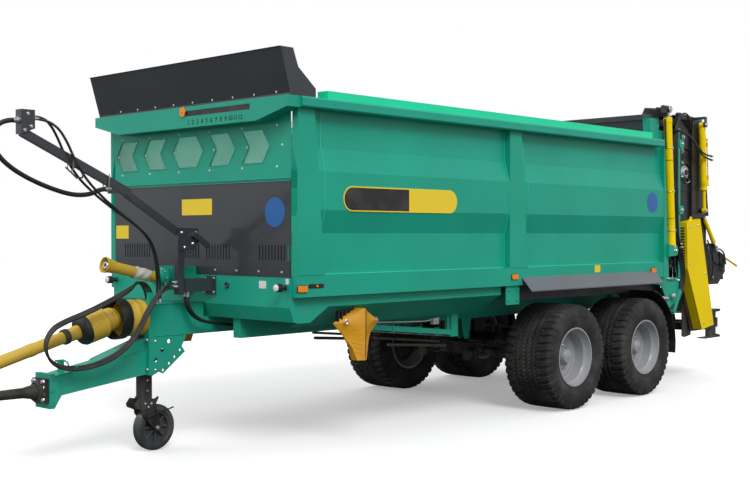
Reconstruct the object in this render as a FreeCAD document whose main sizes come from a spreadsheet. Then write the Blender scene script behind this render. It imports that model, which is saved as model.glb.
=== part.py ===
import FreeCAD, Part
import math
import os
import re

import Sketcher

"""Tandem-axle muck spreader, stood parked on its wheels and its jack.

Millimetres. +X is the machine's left, -Y its front, +Z up, and z = 0 is the ground.
Lengths along the machine are stated from the middle of the tandem, which lies at tandem_y.
"""

SIZES = {
    # whole machine
    "tandem_y": 1694.9, "track": 2235, "wheel_spacing": 1380, "steel": 6, "running_gap": 8,
    # tyres, rims and hubs
    "tyre_radius": 535, "tyre_width": 550, "tyre_shoulder": 18, "rim_radius": 298.5,
    "bead_radius": 285.8, "rim_width": 500, "rim_wall": 9, "dish_shift": 60, "dish_wall": 14,
    "hub_radius": 140, "hub_reach": 110, "drum_radius": 210, "drum_width": 180, "stub_radius": 45,
    "stub_play": 0.05,
    # tandem
    "axle_square": 120, "spring_x": 470, "spring_width": 100, "spring_leaf": 16, "pivot_z": 800,
    "pivot_block": 130, "hanger_width": 220,
    # load body
    "body_front": 4420, "body_rear": 1260, "wall_x": 1213, "bulge_x": 1271, "post_x": 1275,
    "sill_bottom": 1284, "sill_top": 1455, "sill_inner_x": 1000, "rail_bottom": 2760, "rail_height": 82,
    "rail_x": 1333, "rail_front": 4420, "rail_rear": 1166, "fold_top": 2548, "slope_top": 2460,
    "bulge_top": 2274, "bulge_bottom": 1970, "slope_bottom": 1784, "corner_post_top": 177,
    "corner_post_foot": 284, "mid_post_front": 1679, "mid_post_top": 191, "mid_post_foot": 288,
    "strip_height": 66, "strip_width": 115, "strip_front": 4125, "strip_rear": 937, "floor_top": 1310,
    "floor_front": 4310, "floor_rear": 1210,
    # front wall
    "front_half": 1195, "panel_split": 2205, "panel_foot": 1520, "window_low": 2342,
    "window_high": 2614, "window_pitch": 423, "window_shift": 110, "window_half": 130,
    "window_point": 92, "slot_low": 1570, "slot_high": 1690, "slot_width": 16, "slot_pitch": 37,
    "slots_right": -1043, "slots_inner_right": -190, "slots_inner_left": 141, "slots_left": 819,
    "lip_reach": 139, "lip_half": 1308, "lip_taper": 365, "lip_height": 175, "lip_end_height": 87,
    "lip_slot_from": 40, "lip_slot_to": 870, "shield_rise": 20, "shield_height": 343, "shield_lean": 98,
    "shield_half": 1300, "cheek_length": 350,
    # under the body
    "front_beam_reach": 17, "front_beam_half": 1200, "front_beam_top": 1435, "front_beam_foot": 1085,
    "front_beam_bend": 1200, "rail_axis_x": 470, "rail_width": 90, "rail_foot": 920, "rail_head": 1130,
    "rail_start": 4360, "rail_end": 2020, "gusset_rear": 4009, "chain_reach": 46, "tongue_end": 3300,
    "cross_height": 60, "cross_count": 8, "skirt_low_x": 905, "skirt_low_z": 1020, "skirt_front": 4150,
    "skirt_rear": 1720, "slat_height": 34, "slat_width": 50, "slat_pitch": 380, "slat_half": 960,
    "return_z": 1232, "chain_width": 26,
    # drawbar
    "drawbar_half": 127, "neck_top": 1210, "neck_foot": 945, "bulkhead_at": 4990, "bulkhead_thick": 45,
    "bulkhead_foot": 637, "beam_front": 5870, "beam_half": 90, "beam_front_top": 703,
    "beam_front_foot": 545, "beam_rear_top": 845, "beam_rear_foot": 644, "plate_foot": 460,
    "plate_head": 724, "plate_half": 105, "plate_thick": 40, "eye_at": 6430, "eye_z": 590,
    "eye_bore": 25, "eye_radius": 62, "eye_thick": 44, "flange_width": 180, "flange_height": 180,
    "big_hole": 18, "small_hole": 12,
    # drive shaft
    "drive_z": 1100, "joint_at": 5270, "shaft_length": 1540, "shaft_angle": 15.6, "guard_radius": 48,
    "guard_wall": 4, "cone_radius": 118, "shaft_radius": 30, "ball_radius": 28, "seat_gap": 0.3,
    "drum_shield_radius": 145, "bell_radius": 165, "spline_bore": 17.5, "spline_length": 70,
    "tail_radius": 34, "input_x": -100, "input_z": 1420, "input_tilt": 13, "input_guard": 500,
    "input_flange": 62, "gearbox_depth": 203,
    # jack
    "jack_at": 4950, "leg_half": 46, "leg_top": 700, "leg_foot": 420, "housing_wall": 10,
    "jack_wheel_radius": 190, "jack_wheel_width": 86, "jack_trail": 95, "fork_plate": 8,
    "jack_pin_radius": 12.5,
    # gate and rear frame
    "lean": 4, "gate_foot_y": 1380, "gate_half": 1180, "gate_rise": 45, "gate_height": 1790,
    "gate_rib": 40, "cylinder_x": 1262, "cylinder_back": 100, "cylinder_radius": 46,
    "cylinder_low": 270, "cylinder_top": 1800, "gate_eye": 1890, "rod_radius": 28, "rod_play": 0.06,
    "pin_radius": 20, "rear_post_top": 3090, "rear_post_width": 90, "lug_foot": 1490, "lug_head": 1650,
    "rear_foot_x": 1180, "rear_foot_y": 1830, "rear_foot_z": 840,
    # spreading unit
    "side_x": 1122, "side_thick": 8, "column_front": 2100, "column_rear": 2310, "unit_top": 3150,
    "unit_waist": 1900, "unit_skirt": 1100, "carrier_foot": 600, "gear_radius": 110,
    "beater_radius": 390, "beater_core": 130, "beater_half": 1085, "upper_y": 1984, "upper_z": 2510,
    "lower_y": 2080, "lower_z": 1700, "tooth_width": 70, "tooth_thick": 14, "beater_stub": 30,
    "disc_x": 520, "disc_y": 2690, "disc_z": 800, "disc_radius": 470, "disc_thick": 8,
    "vane_height": 110, "hood_hinge_y": 1900, "hood_hinge_z": 3190, "hood_rear": 2560,
    "hood_knee": 2600, "hood_low": 2000, "limiter_rod": 12, "setting_length": 510, "setting_tilt": 71,
    "limiter_ram": 24, "limiter_length": 370, "limiter_tilt": 40, "ram_x": 1205, "ram_top_y": 2295,
    "ram_top_z": 3090, "ram_foot_y": 2365, "ram_foot_z": 2060, "ram_radius": 39, "ram_body": 780,
    "ram_rod": 22, "ram_eye_half": 18, "guard_face": 1245,
    # wings, chocks and masts
    "wing_x": 1388, "wing_low": 1224, "wing_high": 1330, "wing_front": 1560, "wing_rear": 1120,
    "mudguard_radius": 625, "chock_x": 1216, "chock_at": 3610, "chock_foot": 735, "mast_x": 223,
    "mast_at": 4760, "mast_tube": 60, "mast_foot": 1305, "mast_head": 1830, "boom_tube": 56,
    "boom_reach": 1410, "boom_rise": 660,
}

DOC = FreeCAD.newDocument("muck_spreader")
SHEET = DOC.addObject("Spreadsheet::Sheet", "Sizes")
for row, (alias, number) in enumerate(SIZES.items(), 1):
    SHEET.set("A%d" % row, alias)
    SHEET.set("B%d" % row, str(number))
    SHEET.setAlias("B%d" % row, alias)
DOC.recompute()

WORD = re.compile(r"[a-z][a-z0-9_]*")
PLANES = {"x": "YZ_Plane", "y": "XZ_Plane", "z": "XY_Plane"}
RAIL_TOP = "(rail_bottom + rail_height)"
NODES = []


# ---------------------------------------------------------------- helpers

def formula(text):
    """The expression for a size formula: each size named in it is read from the sheet."""
    return WORD.sub(lambda m: "Sizes." + m.group(0) if m.group(0) in SIZES else m.group(0), str(text))


def value(text):
    """The number that a size formula comes to."""
    return float(SHEET.evalExpression(formula(text)))


def node(label, item):
    """Registers a finished object as the sub-part that its file is named after."""
    item.Label = label
    NODES.append(item)
    return item


def block(name, x, y, z):
    """A box between the low and high formulas given for each axis."""
    box = DOC.addObject("Part::Box", name)
    for side, axis, (low, high) in (("Length", "x", x), ("Width", "y", y), ("Height", "z", z)):
        box.setExpression(side, formula("(%s) - (%s)" % (high, low)))
        box.setExpression(".Placement.Base." + axis, formula(low))
    return box


def bar(name, axis, centre, span, radius):
    """A round bar along an axis; centre holds the formulas of its other two coordinates."""
    turn = {"x": FreeCAD.Rotation(FreeCAD.Vector(0, 1, 0), 90),
            "y": FreeCAD.Rotation(FreeCAD.Vector(1, 0, 0), -90),
            "z": FreeCAD.Rotation()}[axis]
    item = DOC.addObject("Part::Cylinder", name)
    item.Placement = FreeCAD.Placement(FreeCAD.Vector(), turn)
    item.setExpression("Radius", formula(radius))
    item.setExpression("Height", formula("(%s) - (%s)" % (span[1], span[0])))
    place = dict(zip([a for a in "xyz" if a != axis], centre))
    place[axis] = span[0]
    for each, text in place.items():
        item.setExpression(".Placement.Base." + each, formula(text))
    return item


def draw(body, axis, outlines, holes=(), offset="0"):
    """A constrained sketch in one of a body's own planes: closed outlines of straight lines, and circles."""
    sketch = body.newObject("Sketcher::SketchObject", body.Name + "_sketch")
    plane = [f for f in body.Origin.OriginFeatures if f.Role == PLANES[axis]][0]
    sketch.AttachmentSupport = [(plane, "")]
    sketch.MapMode = "FlatFace"
    sketch.setExpression(".AttachmentOffset.Base.z", formula(offset))

    lines, rules, bound = [], [], []

    def bind(kind, *where):
        bound.append((len(rules), where[-1]))
        rules.append(Sketcher.Constraint(kind, *where[:-1], value(where[-1])))

    for outline in outlines:
        points = [FreeCAD.Vector(value(u), value(v), 0) for u, v in outline]
        first, count = len(lines), len(points)
        lines += [Part.LineSegment(points[i], points[(i + 1) % count]) for i in range(count)]
        for i, (u, v) in enumerate(outline):
            rules.append(Sketcher.Constraint("Coincident", first + i, 2, first + (i + 1) % count, 1))
            bind("DistanceX", -1, 1, first + i, 1, u)
            bind("DistanceY", -1, 1, first + i, 1, v)
    for u, v, radius in holes:
        circle = len(lines)
        lines.append(Part.Circle(FreeCAD.Vector(value(u), value(v), 0), FreeCAD.Vector(0, 0, 1),
                                 value(radius)))
        bind("DistanceX", -1, 1, circle, 3, u)
        bind("DistanceY", -1, 1, circle, 3, v)
        bind("Radius", circle, radius)
    sketch.addGeometry(lines)
    sketch.addConstraint(rules)
    for number, text in bound:
        sketch.setExpression("Constraints[%d]" % number, formula(text))
    return sketch


def prism(name, axis, span, outline, holes=(), windows=()):
    """An outline padded along an axis. Coordinates are (y, z), (x, z) or (x, y) for axis x, y or z."""
    body = DOC.addObject("PartDesign::Body", name)
    low, high = span
    offset = "-(%s)" % high if axis == "y" else low
    sketch = draw(body, axis, [outline] + list(windows), holes, offset)
    pad = body.newObject("PartDesign::Pad", name + "_pad")
    pad.Profile = sketch
    pad.setExpression("Length", formula("(%s) - (%s)" % (high, low)))
    return body


def turned(name, outline, axis="x", place=("0", "0", "0")):
    """An outline of (along, radius) points turned about its own axis, which is then set at a place."""
    body = DOC.addObject("PartDesign::Body", name)
    sketch = draw(body, "z", [outline])
    spin = body.newObject("PartDesign::Revolution", name + "_turn")
    spin.Profile = sketch
    spin.ReferenceAxis = (sketch, ["H_Axis"])
    spin.Angle = 360
    turn = {"x": FreeCAD.Rotation(),
            "y": FreeCAD.Rotation(FreeCAD.Vector(0, 0, 1), 90),
            "z": FreeCAD.Rotation(FreeCAD.Vector(0, 1, 0), -90)}[axis]
    body.Placement = FreeCAD.Placement(FreeCAD.Vector(), turn)
    for each, text in zip("xyz", place):
        body.setExpression(".Placement.Base." + each, formula(text))
    return body


def fused(name, *items):
    """Pieces welded into one."""
    item = DOC.addObject("Part::MultiFuse", name)
    item.Shapes = list(items)
    item.Refine = True
    return item


def less(name, base, *tools):
    """A piece with others cut out of it."""
    item = DOC.addObject("Part::Cut", name)
    item.Base = base
    item.Tool = tools[0] if len(tools) == 1 else fused(name + "_tools", *tools)
    return item


def group(name, *items):
    """Like pieces that don't touch, kept as one sub-part."""
    item = DOC.addObject("Part::Compound", name)
    item.Links = list(items)
    return item


def mirrored(name, source):
    """The same piece on the machine's other side."""
    item = DOC.addObject("Part::Mirroring", name)
    item.Source = source
    item.Normal = (1, 0, 0)
    return item


def pair(label, item):
    """A left and right pair as one sub-part."""
    node(label, group(label + "_pair", item, mirrored(label + "_mirror", item)))


def placed(item, place, axis, degrees):
    """Turns a finished item about an axis and sets it at a place, both read from the sheet."""
    item.Placement = FreeCAD.Placement(
        FreeCAD.Vector(*[value(text) for text in place]),
        FreeCAD.Rotation(FreeCAD.Vector(*axis), value(degrees)))
    for each, text in zip("xyz", place):
        item.setExpression(".Placement.Base." + each, formula(text))
    item.setExpression(".Placement.Rotation.Angle", formula(degrees))
    return item


def ahead(distance):
    """The y of a place stated as a distance ahead of the tandem's middle."""
    return "tandem_y - (%s)" % distance


def behind(distance):
    """The y of a place stated as a distance behind the tandem's middle."""
    return "tandem_y + (%s)" % distance


# ---------------------------------------------------------------- wheels and tandem

def wheel(name, side, y):
    """One wheel: a tyre on a deep-dished rim with its brake drum and hub. side is 1 left, -1 right."""
    place = ("%d * track / 2" % side, y, "tyre_radius")
    half, bead = "tyre_width / 2", "(rim_width / 2 - rim_wall - seat_gap)"
    tyre = turned(name + "_tyre_ring", [
        ("-" + bead, "bead_radius + seat_gap"), (bead, "bead_radius + seat_gap"),
        (bead, "rim_radius + seat_gap"),
        ("rim_width / 2", "rim_radius + seat_gap"), (half + " - 12", "rim_radius + 40"),
        (half, "tyre_radius - 150"), (half, "tyre_radius - 95"), (half + " - 10", "tyre_radius - 55"),
        (half + " - 25", "tyre_radius - tyre_shoulder"), (half + " - 70", "tyre_radius - 5"),
        ("0", "tyre_radius"), ("-(%s - 70)" % half, "tyre_radius - 5"),
        ("-(%s - 25)" % half, "tyre_radius - tyre_shoulder"), ("-(%s - 10)" % half, "tyre_radius - 55"),
        ("-" + half, "tyre_radius - 95"), ("-" + half, "tyre_radius - 150"),
        ("-(%s - 12)" % half, "rim_radius + 40"), ("-rim_width / 2", "rim_radius + seat_gap"),
        ("-" + bead, "rim_radius + seat_gap")], place=place)
    node(name + "_tyre", tyre)
    out = "%d *" % side
    rim = turned(name + "_rim_ring", [
        (out + " rim_width / 2", "rim_radius"), (out + "(rim_width / 2 - rim_wall)", "rim_radius"),
        (out + "(rim_width / 2 - rim_wall)", "bead_radius"),
        ("-" + out + "(rim_width / 2 - rim_wall)", "bead_radius"),
        ("-" + out + "(rim_width / 2 - rim_wall)", "rim_radius"),
        ("-" + out + " rim_width / 2", "rim_radius"),
        ("-" + out + " rim_width / 2", "bead_radius - rim_wall"),
        ("-" + out + "(rim_width / 2 - 60)", "bead_radius - rim_wall - 18"),
        (out + "(dish_shift - dish_wall)", "bead_radius - rim_wall - 26"),
        (out + "(dish_shift - dish_wall)", "stub_radius + stub_play"),
        (out + "(hub_reach)", "stub_radius + stub_play"), (out + "(hub_reach + 30)", "20"),
        (out + "(hub_reach + 60)", "20"), (out + "(hub_reach + 60)", "hub_radius / 2"),
        (out + "dish_shift", "hub_radius / 2"), (out + "dish_shift", "bead_radius - rim_wall - 26"),
        (out + "(dish_shift + 40)", "bead_radius - rim_wall - 26"),
        (out + "(rim_width / 2 - 60)", "bead_radius - rim_wall - 14"),
        (out + " rim_width / 2", "bead_radius - rim_wall")], place=place)
    return rim


def wheels():
    """Four wheels. The drums turn with them; the stubs of the axles run in their bores."""
    for where, y in (("front", ahead("wheel_spacing / 2")), ("rear", behind("wheel_spacing / 2"))):
        for side, hand in ((1, "left"), (-1, "right")):
            name = "%s_%s" % (where, hand)
            rim = wheel(name, side, y)
            drum = turned(name + "_drum_ring", [
                ("%d * (dish_shift - dish_wall)" % side, "stub_radius + stub_play"),
                ("%d * (dish_shift - dish_wall)" % side, "drum_radius"),
                ("%d * (dish_shift - dish_wall - drum_width)" % side, "drum_radius"),
                ("%d * (dish_shift - dish_wall - drum_width)" % side, "stub_radius + stub_play")],
                place=("%d * track / 2" % side, y, "tyre_radius"))
            node(name + "_rim", fused(name + "_rim_weld", rim, drum))


def tandem():
    """Two square axles, two leaf springs over them and the hangers that the springs rock in."""
    axles = []
    for where, y in (("front", ahead("wheel_spacing / 2")), ("rear", behind("wheel_spacing / 2"))):
        reach = "track / 2 + dish_shift - dish_wall - drum_width - 6"
        beam = block(where + "_axle_beam", ("-(%s)" % reach, reach),
                     (y + " - axle_square / 2", y + " + axle_square / 2"),
                     ("tyre_radius - axle_square / 2", "tyre_radius + axle_square / 2"))
        stubs = bar(where + "_axle_stubs", "x", (y, "tyre_radius"),
                    ("-(track / 2 + hub_reach - 2)", "track / 2 + hub_reach - 2"), "stub_radius")
        seats = [block("%s_spring_seat_%d" % (where, side + 1),
                       ("%d * spring_x - spring_width / 2 - 10" % side,
                        "%d * spring_x + spring_width / 2 + 10" % side),
                       (y + " - 55", y + " + 55"),
                       ("tyre_radius + axle_square / 2 - 1",
                        "tyre_radius + axle_square / 2 + spring_leaf * 3"))
                 for side in (1, -1)]
        axles.append(fused(where + "_axle_weld", beam, stubs, *seats))
    node("axles", group("axle_pair", *axles))
    mid = "tandem_y"
    low = "tyre_radius + axle_square / 2"
    top, bend, flat = "pivot_z - pivot_block / 2", "120", "(wheel_spacing / 2 - 60)"
    leaves = []
    for i in range(4):
        drop = "spring_leaf * %d" % i
        reach = "wheel_spacing / 2 + 90" if i == 0 else "%s * %s" % (flat, 1 - 0.2 * i)
        knee = flat if i == 0 else reach
        rise = "(%s - (%s)) / (%s - %s)" % (flat, knee, flat, bend)
        end = "%s + spring_leaf * (4 - %d) + (%s - %s - spring_leaf * 4) * %s" % (low, i, top, low, rise)
        right = [(knee, end), (bend, "%s - %s" % (top, drop))]
        if i == 0:
            right.insert(0, (reach, end))
        upper = [("%s + %s" % (mid, y), z) for y, z in right] + [("%s - (%s)" % (mid, y), z) for y,
                                                                 z in right[::-1]]
        under = [(y, z + " - spring_leaf") for y, z in upper[::-1]]
        leaves.append(prism("leaf_%d" % i, "x",
                            ("spring_x - spring_width / 2", "spring_x + spring_width / 2"),
                            upper + under))
    clamp = block("spring_clamp", ("spring_x - spring_width / 2 - 15", "spring_x + spring_width / 2 + 15"),
                  (mid + " - 90", mid + " + 90"),
                  ("pivot_z - pivot_block / 2 - spring_leaf * 4 - 20", "pivot_z + pivot_block / 2"))
    pack = fused("spring_pack", clamp, *leaves)
    inner, outer = "spring_x - spring_width / 2 - 15", "spring_x + spring_width / 2 + 15"
    cheeks = [prism("hanger_" + name, "x", span, [
        (mid + " - hanger_width", "rail_foot"), (mid + " - 90", "pivot_z - 80"),
        (mid + " + 90", "pivot_z - 80"), (mid + " + hanger_width", "rail_foot")])
        for name, span in (("inner", (inner + " - 20", inner)), ("outer", (outer, outer + " + 20")))]
    cap = block("hanger_cap", ("spring_x - spring_width / 2 - 35", "spring_x + spring_width / 2 + 35"),
                (mid + " - hanger_width", mid + " + hanger_width"), ("rail_foot - 20", "rail_foot"))
    pair("springs", group("spring_and_hanger", pack, fused("hanger_weld", cap, *cheeks)))


# ---------------------------------------------------------------- load body

def wall_line(shift):
    """The side wall's folded section, moved inwards by shift."""
    return [("wall_x - (%s)" % shift, "sill_top"), ("wall_x - (%s)" % shift, "slope_bottom"),
            ("bulge_x - (%s)" % shift, "bulge_bottom"), ("bulge_x - (%s)" % shift, "bulge_top"),
            ("wall_x + 6 - (%s)" % shift, "slope_top"), ("wall_x - (%s)" % shift, "fold_top"),
            ("wall_x - (%s)" % shift, "rail_bottom")]


def side():
    """A side wall with its posts, rail, raised strip, sill and skirt."""
    wall = prism("wall_fold", "y", (ahead("body_front - steel"), behind("body_rear")),
                 wall_line("0") + wall_line("steel")[::-1])
    node("side_wall_left", wall)
    node("side_wall_right", mirrored("side_wall_mirror", wall))

    def post(name, front, top, foot):
        blank = prism(name + "_blank", "x", ("wall_x - steel", "post_x"), [
            (front, "sill_top"), (front, "rail_bottom"), (front + " + " + top, "rail_bottom"),
            (front + " + " + foot, "sill_top")])
        inner = prism(name + "_inside", "y", (front + " - 10", front + " + " + foot + " + 10"), [
            ("wall_x - steel - 50", "sill_top - 10")] + wall_line("0") + [
            ("wall_x", "rail_bottom + 10"), ("wall_x - steel - 50", "rail_bottom + 10")])
        return less(name + "_cut", blank, inner)

    corner = post("corner", ahead("body_front - steel"), "corner_post_top", "corner_post_foot")
    middle = post("middle", ahead("mid_post_front"), "mid_post_top", "mid_post_foot")
    pair("side_posts", group("post_pair", corner, middle))
    rail = prism("rail_bar", "y", (ahead("rail_front"), behind("rail_rear")), [
        ("wall_x - steel", "rail_bottom"), ("rail_x - 8", "rail_bottom"), ("rail_x", "rail_bottom + 10"),
        ("rail_x", RAIL_TOP + " - 14"), ("rail_x - 14", RAIL_TOP), ("wall_x - steel", RAIL_TOP)])
    strip = block("rail_strip", ("rail_x - 28 - strip_width", "rail_x - 28"),
                  (ahead("strip_front"), behind("strip_rear")), (RAIL_TOP, RAIL_TOP + " + strip_height"))
    pair("top_rails", rail)
    pair("raised_strips", strip)
    sill = prism("sill_box", "y", (ahead("body_front - steel"), behind("body_rear")), [
        ("sill_inner_x", "sill_bottom"), ("bulge_x", "sill_bottom"), ("bulge_x", "sill_top"),
        ("wall_x - steel - 8", "sill_top"), ("sill_inner_x", "floor_top + 20")])
    pair("sills", sill)
    skirt = prism("skirt_sheet", "y", (ahead("skirt_front"), ahead("skirt_rear")), [
        ("skirt_low_x", "skirt_low_z"), ("front_beam_half - 6", "front_beam_bend"),
        ("front_beam_half - 6", "sill_bottom"), ("front_beam_half", "sill_bottom"),
        ("front_beam_half", "front_beam_bend - 3"), ("skirt_low_x + 3", "skirt_low_z - 6")])
    gusset = prism("skirt_gusset", "x", ("front_beam_half - 14", "front_beam_half"), [
        (ahead("rail_start"), "sill_bottom"), (ahead("rail_start"), "front_beam_foot - 8"),
        (ahead("rail_start - 143"), "front_beam_foot - 8"), (ahead("gusset_rear"), "front_beam_bend"),
        (ahead("gusset_rear"), "sill_bottom")])
    pair("skirts", fused("skirt_weld", skirt, gusset))


def floor_and_chain():
    """The floor, and on it and under it the slats and chains of the scraper floor, a fixed loop."""
    floor = block("floor_sheet", ("-sill_inner_x", "sill_inner_x"),
                  (ahead("floor_front"), behind("floor_rear")), ("floor_top - 20", "floor_top"))
    node("floor", floor)
    slats = []
    run = value("floor_front + floor_rear - 160")
    count = int(run // value("slat_pitch"))
    for i in range(count):
        y = ahead("floor_front - 60 - slat_pitch * %d" % i)
        for level, low in (("top", "floor_top"), ("low", "return_z - slat_height / 2")):
            slats.append(block("slat_%s_%d" % (level, i), ("-slat_half", "slat_half"),
                               (y + " - slat_width / 2", y + " + slat_width / 2"),
                               (low, low + " + slat_height")))
    chains = []
    for i, x in enumerate(("-slat_half * 0.9", "-slat_half * 0.3", "slat_half * 0.3", "slat_half * 0.9")):
        front, rear = ahead("floor_front + chain_reach"), behind("floor_rear + chain_reach")
        across = (x + " - chain_width / 2", x + " + chain_width / 2")
        top, low = "floor_top + chain_width", "return_z - chain_width / 2"
        chains.append(prism("chain_%d" % i, "x", across,
                            [(front, low), (rear, low), (rear, top), (front, top)],
                            windows=[[(front + " + chain_width", low + " + chain_width"),
                                      (rear + " - chain_width", low + " + chain_width"),
                                      (rear + " - chain_width", top + " - chain_width"),
                                      (front + " + chain_width", top + " - chain_width")]]))
    node("scraper_chain", fused("scraper_loop", *(slats + chains)))


def chassis():
    """Two long rails, their cross members and the outriggers that carry the sills."""
    front, rear = ahead("rail_start"), behind("rail_end")
    parts = []
    for side in (1, -1):
        edges = sorted(("%d * (rail_axis_x - rail_width / 2)" % side,
                        "%d * (rail_axis_x + rail_width / 2)" % side),
                       key=value)
        parts.append(block("long_rail_%d" % (side + 1), edges, (front, rear), ("rail_foot", "rail_head")))
    for i in range(SIZES["cross_count"]):
        y = ahead("body_front - 160 - (body_front + body_rear - 300) / (cross_count - 1) * %d" % i)
        span = (y + " - 35", y + " + 35")
        parts.append(block("cross_%d" % i, ("-sill_inner_x - 60", "sill_inner_x + 60"), span,
                           ("rail_head", "rail_head + cross_height")))
        for side in (1, -1):
            ends = sorted(("%d * sill_inner_x" % side, "%d * (sill_inner_x + 60)" % side), key=value)
            parts.append(block("outrigger_%d_%d" % (i, side + 1), ends, span,
                               ("rail_head + cross_height", "sill_bottom")))
    for side in (1, -1):
        edges = sorted(("%d * (drawbar_half - 60)" % side, "%d * drawbar_half" % side), key=value)
        parts.append(block("tongue_%d" % (side + 1), edges, (front, ahead("tongue_end")),
                           ("neck_foot", "rail_head")))
    between = "rail_axis_x - rail_width / 2"
    parts.append(block("tongue_tie", ("-(%s)" % between, between),
                       (ahead("tongue_end"), ahead("tongue_end - 60")), ("neck_foot", "rail_head")))
    node("chassis_frame", group("chassis_set", *parts))
    beam = prism("front_beam_fold", "x", ("-front_beam_half", "front_beam_half"), [
        (ahead("body_front + front_beam_reach"), "front_beam_bend"),
        (ahead("body_front + front_beam_reach"), "front_beam_top"),
        (ahead("rail_start"), "front_beam_top"), (ahead("rail_start"), "front_beam_foot"),
        (ahead("rail_start + 30"), "front_beam_foot")])
    corner = prism("front_beam_corner", "y", (ahead("body_front - 5"), ahead("rail_start - 1")), [
        ("front_beam_half - 15", "sill_bottom"), ("front_beam_half + 1", "sill_bottom"),
        ("front_beam_half + 1", "front_beam_top + 1"), ("sill_inner_x - 1", "front_beam_top + 1"),
        ("sill_inner_x - 1", "sill_bottom - 1")])
    node("front_beam", less("front_beam_cut", beam, corner, mirrored("front_beam_corner_r", corner)))


def front_wall():
    """The front wall: windowed upper sheet, slotted lower sheet, lip with its scale, and spray shield."""
    face = ahead("body_front")
    back = ahead("body_front - steel")
    mid, half, point = "(window_low + window_high) / 2", "window_half", "window_point"
    windows = []
    for i, bend in enumerate((-1, -1, 0, 1, 1)):
        x = "window_pitch * %d - window_shift" % (i - 2)
        left = "%s * %d" % (point, bend if bend else -1)
        right = "%s * %d" % (point, bend if bend else 1)
        windows.append([
            (x + " - " + half, "window_low"), (x + " + " + half, "window_low"),
            (x + " + " + half + " + " + right, mid), (x + " + " + half, "window_high"),
            (x + " - " + half, "window_high"), (x + " - " + half + " + " + left, mid)])
    upper = prism("upper_sheet", "y", (face, back), [
        ("-front_half", "panel_split"), ("front_half", "panel_split"), ("front_half", RAIL_TOP),
        ("-front_half", RAIL_TOP)], windows=windows)
    node("front_window_sheet", upper)
    node("front_glazing", block("glazing_sheet", ("-front_half", "front_half"), (back, back + " + 5"),
                                ("window_low - 40", "window_high + 40")))
    slots = []
    for start, count in (("slots_right", 11), ("slots_inner_right", 7), ("slots_inner_left", 9),
                         ("slots_left", 11)):
        for i in range(count):
            x = "%s + slot_pitch * %d" % (start, i)
            slots.append(block("%s_%d" % (start, i), (x, x + " + slot_width"),
                               (face + " - 5", back + " + 5"), ("slot_low", "slot_high")))
    lower = less("lower_sheet", block("lower_blank", ("-front_half", "front_half"), (face, back),
                                      ("panel_foot", "panel_split")), group("slot_set", *slots))
    foot = block("foot_bar", ("-front_half", "front_half"), (face + " - 10", back),
                 ("front_beam_top", "panel_foot + 4"))
    node("front_slotted_sheet", fused("front_slotted_weld", lower, foot))
    lip = prism("lip_box", "y", (ahead("body_front + lip_reach"), face), [
        ("-lip_half + lip_taper", RAIL_TOP + " - lip_height"),
        ("lip_half - lip_taper", RAIL_TOP + " - lip_height"),
        ("lip_half", RAIL_TOP + " - lip_end_height"), ("lip_half", RAIL_TOP), ("-lip_half", RAIL_TOP),
        ("-lip_half", RAIL_TOP + " - lip_end_height")])
    slot = block("lip_slot", ("lip_slot_from", "lip_slot_to"),
                 (ahead("body_front + lip_reach + 1"), ahead("body_front + lip_reach - 30")),
                 (RAIL_TOP + " - 82", RAIL_TOP + " - 36"))
    node("front_lip", less("lip_cut", lip, slot))
    front = ahead("body_front + lip_reach - 40")
    foot, top = RAIL_TOP + " + shield_rise", RAIL_TOP + " + shield_rise + shield_height"
    shield = prism("shield_sheet", "x", ("-shield_half", "shield_half"), [
        (front, RAIL_TOP), (front, foot), (front + " - shield_lean", top + " - 8"),
        (front + " - shield_lean - 10", top), (front + " - shield_lean + 30", top),
        (front + " - shield_lean + 30", top + " - 6"), (front + " - shield_lean + 8", top + " - 8"),
        (front + " + 7", foot), (front + " + 60", foot), (front + " + 60", RAIL_TOP)])
    cheek = prism("shield_cheek", "x", ("shield_half - 10", "shield_half"), [
        (front + " + 7", RAIL_TOP), (front + " - shield_lean + 12", top + " - 8"),
        (front + " - shield_lean + 24", top), (front + " + 30", top), (front + " + 84", top + " - 140"),
        (front + " + cheek_length - 80", RAIL_TOP + " + 70"), (front + " + cheek_length - 80", RAIL_TOP)])
    node("spray_shield", fused("shield_weld", shield, cheek, mirrored("cheek_mirror", cheek)))


# ---------------------------------------------------------------- drawbar, coupling, jack

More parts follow.
